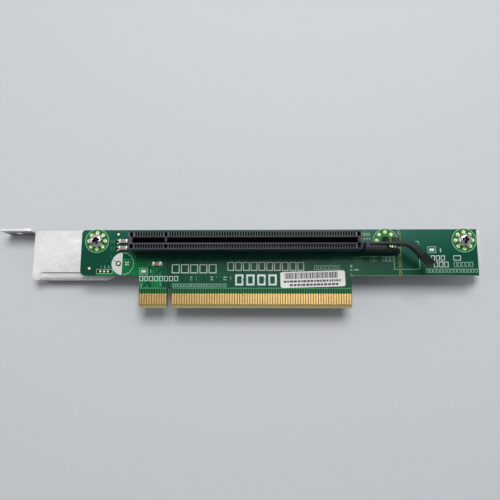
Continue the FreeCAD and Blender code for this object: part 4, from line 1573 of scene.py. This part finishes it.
cap_length = 0.55 * mm
cap_rounding = 0.09 * mm
slope_height = 0.75 * mm
slope_share = 0.86
for place in ("upper", "lower", "centre"):
    body_node = "capacitor_" + place + "_body"
    cap_node = "capacitor_" + place + "_terminals"
    low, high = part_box(body_node)
    belong(rounded_block("chip_body_" + place, low, high, 0.06 * mm, ceramic_body),
           None, [body_node])
    low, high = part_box(cap_node)
    left_end = Vector((low.x + cap_length, high.y, high.z))
    right_end = Vector((high.x - cap_length, low.y, low.z))
    pieces = [rounded_block("cap", low, left_end, cap_rounding, solder),
              rounded_block("cap", right_end, high, cap_rounding, solder)]
    width = (high.y - low.y) * slope_share
    middle_y = (low.y + high.y) / 2
    pieces.append(solder_slope(low.x, middle_y, width, slope_height, -1))
    pieces.append(solder_slope(high.x, middle_y, width, slope_height, 1))
    belong(join_meshes("chip_caps_" + place, pieces), None, [cap_node])


# %% [markdown]
# ## The label
# A paper label sits a little crooked, and its lower right corner has begun to lift. The sheet is a
# grid whose height rises towards that corner. Its print is plain: a band of bars of uneven width
# and two rows of short dashes, which say nothing.

# %% Label sheet
label_low, label_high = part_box("board_label")
label_centre = (label_low + label_high) / 2
label_turn = math.radians(1.6)
label_length = 25.6 * mm
label_width = 6.35 * mm
label_corner = 0.8 * mm


def label_place(along, across):
    """Place on the label's top, from its centre, in the label's own turned directions."""
    x = label_centre.x + along * math.cos(label_turn) - across * math.sin(label_turn)
    y = label_centre.y + along * math.sin(label_turn) + across * math.cos(label_turn)
    near_right = max(0.0, (along - label_length * 0.18) / (label_length * 0.32))
    near_low = max(0.0, (-across - label_width * 0.22) / (label_width * 0.28))
    lift = 0.42 * mm * near_right ** 1.5 * near_low ** 1.5
    return x, y, board_face + 0.03 * mm + lift


def inside_corner(along, across):
    """Pulls a grid point in to the label's rounded corners."""
    half_length = label_length / 2 - label_corner
    half_width = label_width / 2 - label_corner
    over_x = max(0.0, abs(along) - half_length)
    over_y = max(0.0, abs(across) - half_width)
    reach = math.hypot(over_x, over_y)
    if over_x > 0 and over_y > 0 and reach > label_corner:
        pull = label_corner / reach
        along = math.copysign(half_length + over_x * pull, along)
        across = math.copysign(half_width + over_y * pull, across)
    return along, across


def label_sheet():
    """Grid over the label, given its paper's thickness by a Solidify modifier."""
    columns = 48
    rows = 16
    vertices = []
    for row in range(rows + 1):
        for column in range(columns + 1):
            along = label_length * (column / columns - 0.5)
            across = label_width * (row / rows - 0.5)
            vertices.append(label_place(*inside_corner(along, across)))
    faces = []
    for row in range(rows):
        for column in range(columns):
            first = row * (columns + 1) + column
            faces.append([first, first + 1, first + columns + 2, first + columns + 1])
    sheet = mesh_object("paper_label", vertices, [], faces)
    thick = sheet.modifiers.new("paper", "SOLIDIFY")
    thick.thickness = 0.06 * mm
    thick.offset = 1.0
    return smooth_by_angle(settle(sheet))


belong(label_sheet(), label_paper, ["board_label"])


# %% Label print
def label_bar(along, across, width, height):
    """Corners of one printed bar on the label."""
    return [label_place(along, across), label_place(along + width, across),
            label_place(along + width, across + height), label_place(along, across + height)]


def label_marks():
    """A band of upright bars over two rows of dashes."""
    marks = []
    along = -label_length * 0.43
    while along < label_length * 0.38:
        width = random.choice([0.22, 0.32, 0.52]) * mm
        marks.append(label_bar(along, 0.3 * mm, width, 2.4 * mm))
        along += width + random.choice([0.16, 0.22, 0.34]) * mm
    for across, start, stop in ((-1.15 * mm, -0.45, 0.44), (-2.6 * mm, -0.36, 0.38)):
        along = start * label_length
        while along < stop * label_length:
            width = random.uniform(0.5, 1.3) * mm
            marks.append(label_bar(along, across, width, 0.85 * mm))
            along += width + random.uniform(0.22, 0.42) * mm
    return marks


belong(slabs("label_print", label_marks(), 0.075 * mm, label_print))

# %% [markdown]
# ## Finishes for the parts that stay as packed
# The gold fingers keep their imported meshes. They only take a material.

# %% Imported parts
for node in ("edge_contacts_front", "edge_contacts_back"):
    nodes[node].data.materials.clear()
    nodes[node].data.materials.append(gold)
    print(node, "takes", gold.name)

# %% [markdown]
# ## Studio
# The card lies on a pale floor under one large soft light from above its top edge, so the slot's
# lower wall and the board's lower edge fall in shade. A weak second light comes from the left. The
# surround is dim: it is darker overhead, because a flat gloss surface mirrors what is above it, and
# darker towards the lower edge, which gives the screws their contrast.

# %% Floor
def make_floor():
    reach = 3.0
    rest = cad_bounds[0][2]
    corners = [(-reach, -reach, rest), (reach, -reach, rest), (reach, reach, rest),
               (-reach, reach, rest)]
    floor = mesh_object("floor", corners, [], [(0, 1, 2, 3)])
    material = plain_finish("floor_paper", (0.60, 0.62, 0.64), (0.62, 0.64, 0.66),
                            (0.8, 0.9), (300, 0.0001), size=3.0)
    floor.data.materials.append(material)
    return floor


make_floor()
print("floor at", cad_bounds[0][2])


# %% Surround and lamps
def make_surround():
    world = bpy.data.worlds.new("studio")
    bpy.context.scene.world = world
    world.use_nodes = True
    tree = world.node_tree
    background = tree.nodes["Background"]
    direction = axes_of(tree, add_node(tree, "ShaderNodeTexCoord").outputs["Generated"])
    up = value_range(tree, direction[2], 0.1, 0.95, 0.0, 1.0)
    colour = mix(tree, up, (0.86, 0.88, 0.90), (0.36, 0.37, 0.38))
    front = value_range(tree, direction[1], -0.9, 0.6, 0.45, 1.0)
    shaded = mix(tree, front, (0.0, 0.0, 0.0), colour)
    tree.links.new(shaded, background.inputs["Color"])
    background.inputs["Strength"].default_value = 0.65
    return world


def add_lamp(name, place, target, size, power):
    """Square soft lamp that faces its target."""
    light = bpy.data.lights.new(name, "AREA")
    light.energy = power
    light.size = size
    lamp = object_of(name, light)
    lamp.location = place
    lamp.rotation_euler = (target - place).to_track_quat("-Z", "Y").to_euler()
    return lamp


make_surround()
middle = (board_low + board_high) / 2
add_lamp("key_light", middle + Vector((0.05, 0.27, 0.62)), middle, 0.30, 3.45)
add_lamp("side_light", middle + Vector((-0.55, 0.05, 0.45)), middle, 0.35, 0.4)


# %% [markdown]
# ## Camera
# The card is seen from almost straight above, leaning nine degrees towards its lower edge, so the
# slot's lower wall shows. A short distance gives the slot its perspective.

# %% Camera
camera_distance = 200.67 * mm
camera_aim = Vector((31.97 * mm, 23.37 * mm, board_back))
lean = 0.1564
swing = -0.0274
roll = -0.0028
turn_to_camera = (Matrix.Rotation(-lean, 3, "X") @ Matrix.Rotation(swing, 3, "Y")
                  @ Matrix.Rotation(roll, 3, "Z"))
rotation = turn_to_camera.transposed()
camera_data = bpy.data.cameras.new("camera")
camera_data.lens = 35.746
camera_data.sensor_width = 36.0
camera_data.clip_start = 0.01
camera_data.clip_end = 10.0
camera = object_of("camera", camera_data)
place = camera_aim + rotation @ Vector((0, 0, camera_distance))
camera.matrix_world = Matrix.Translation(place) @ rotation.to_4x4()
bpy.context.scene.camera = camera
bpy.context.scene.view_settings.view_transform = "Standard"
print("camera at", [round(v / mm, 1) for v in place])
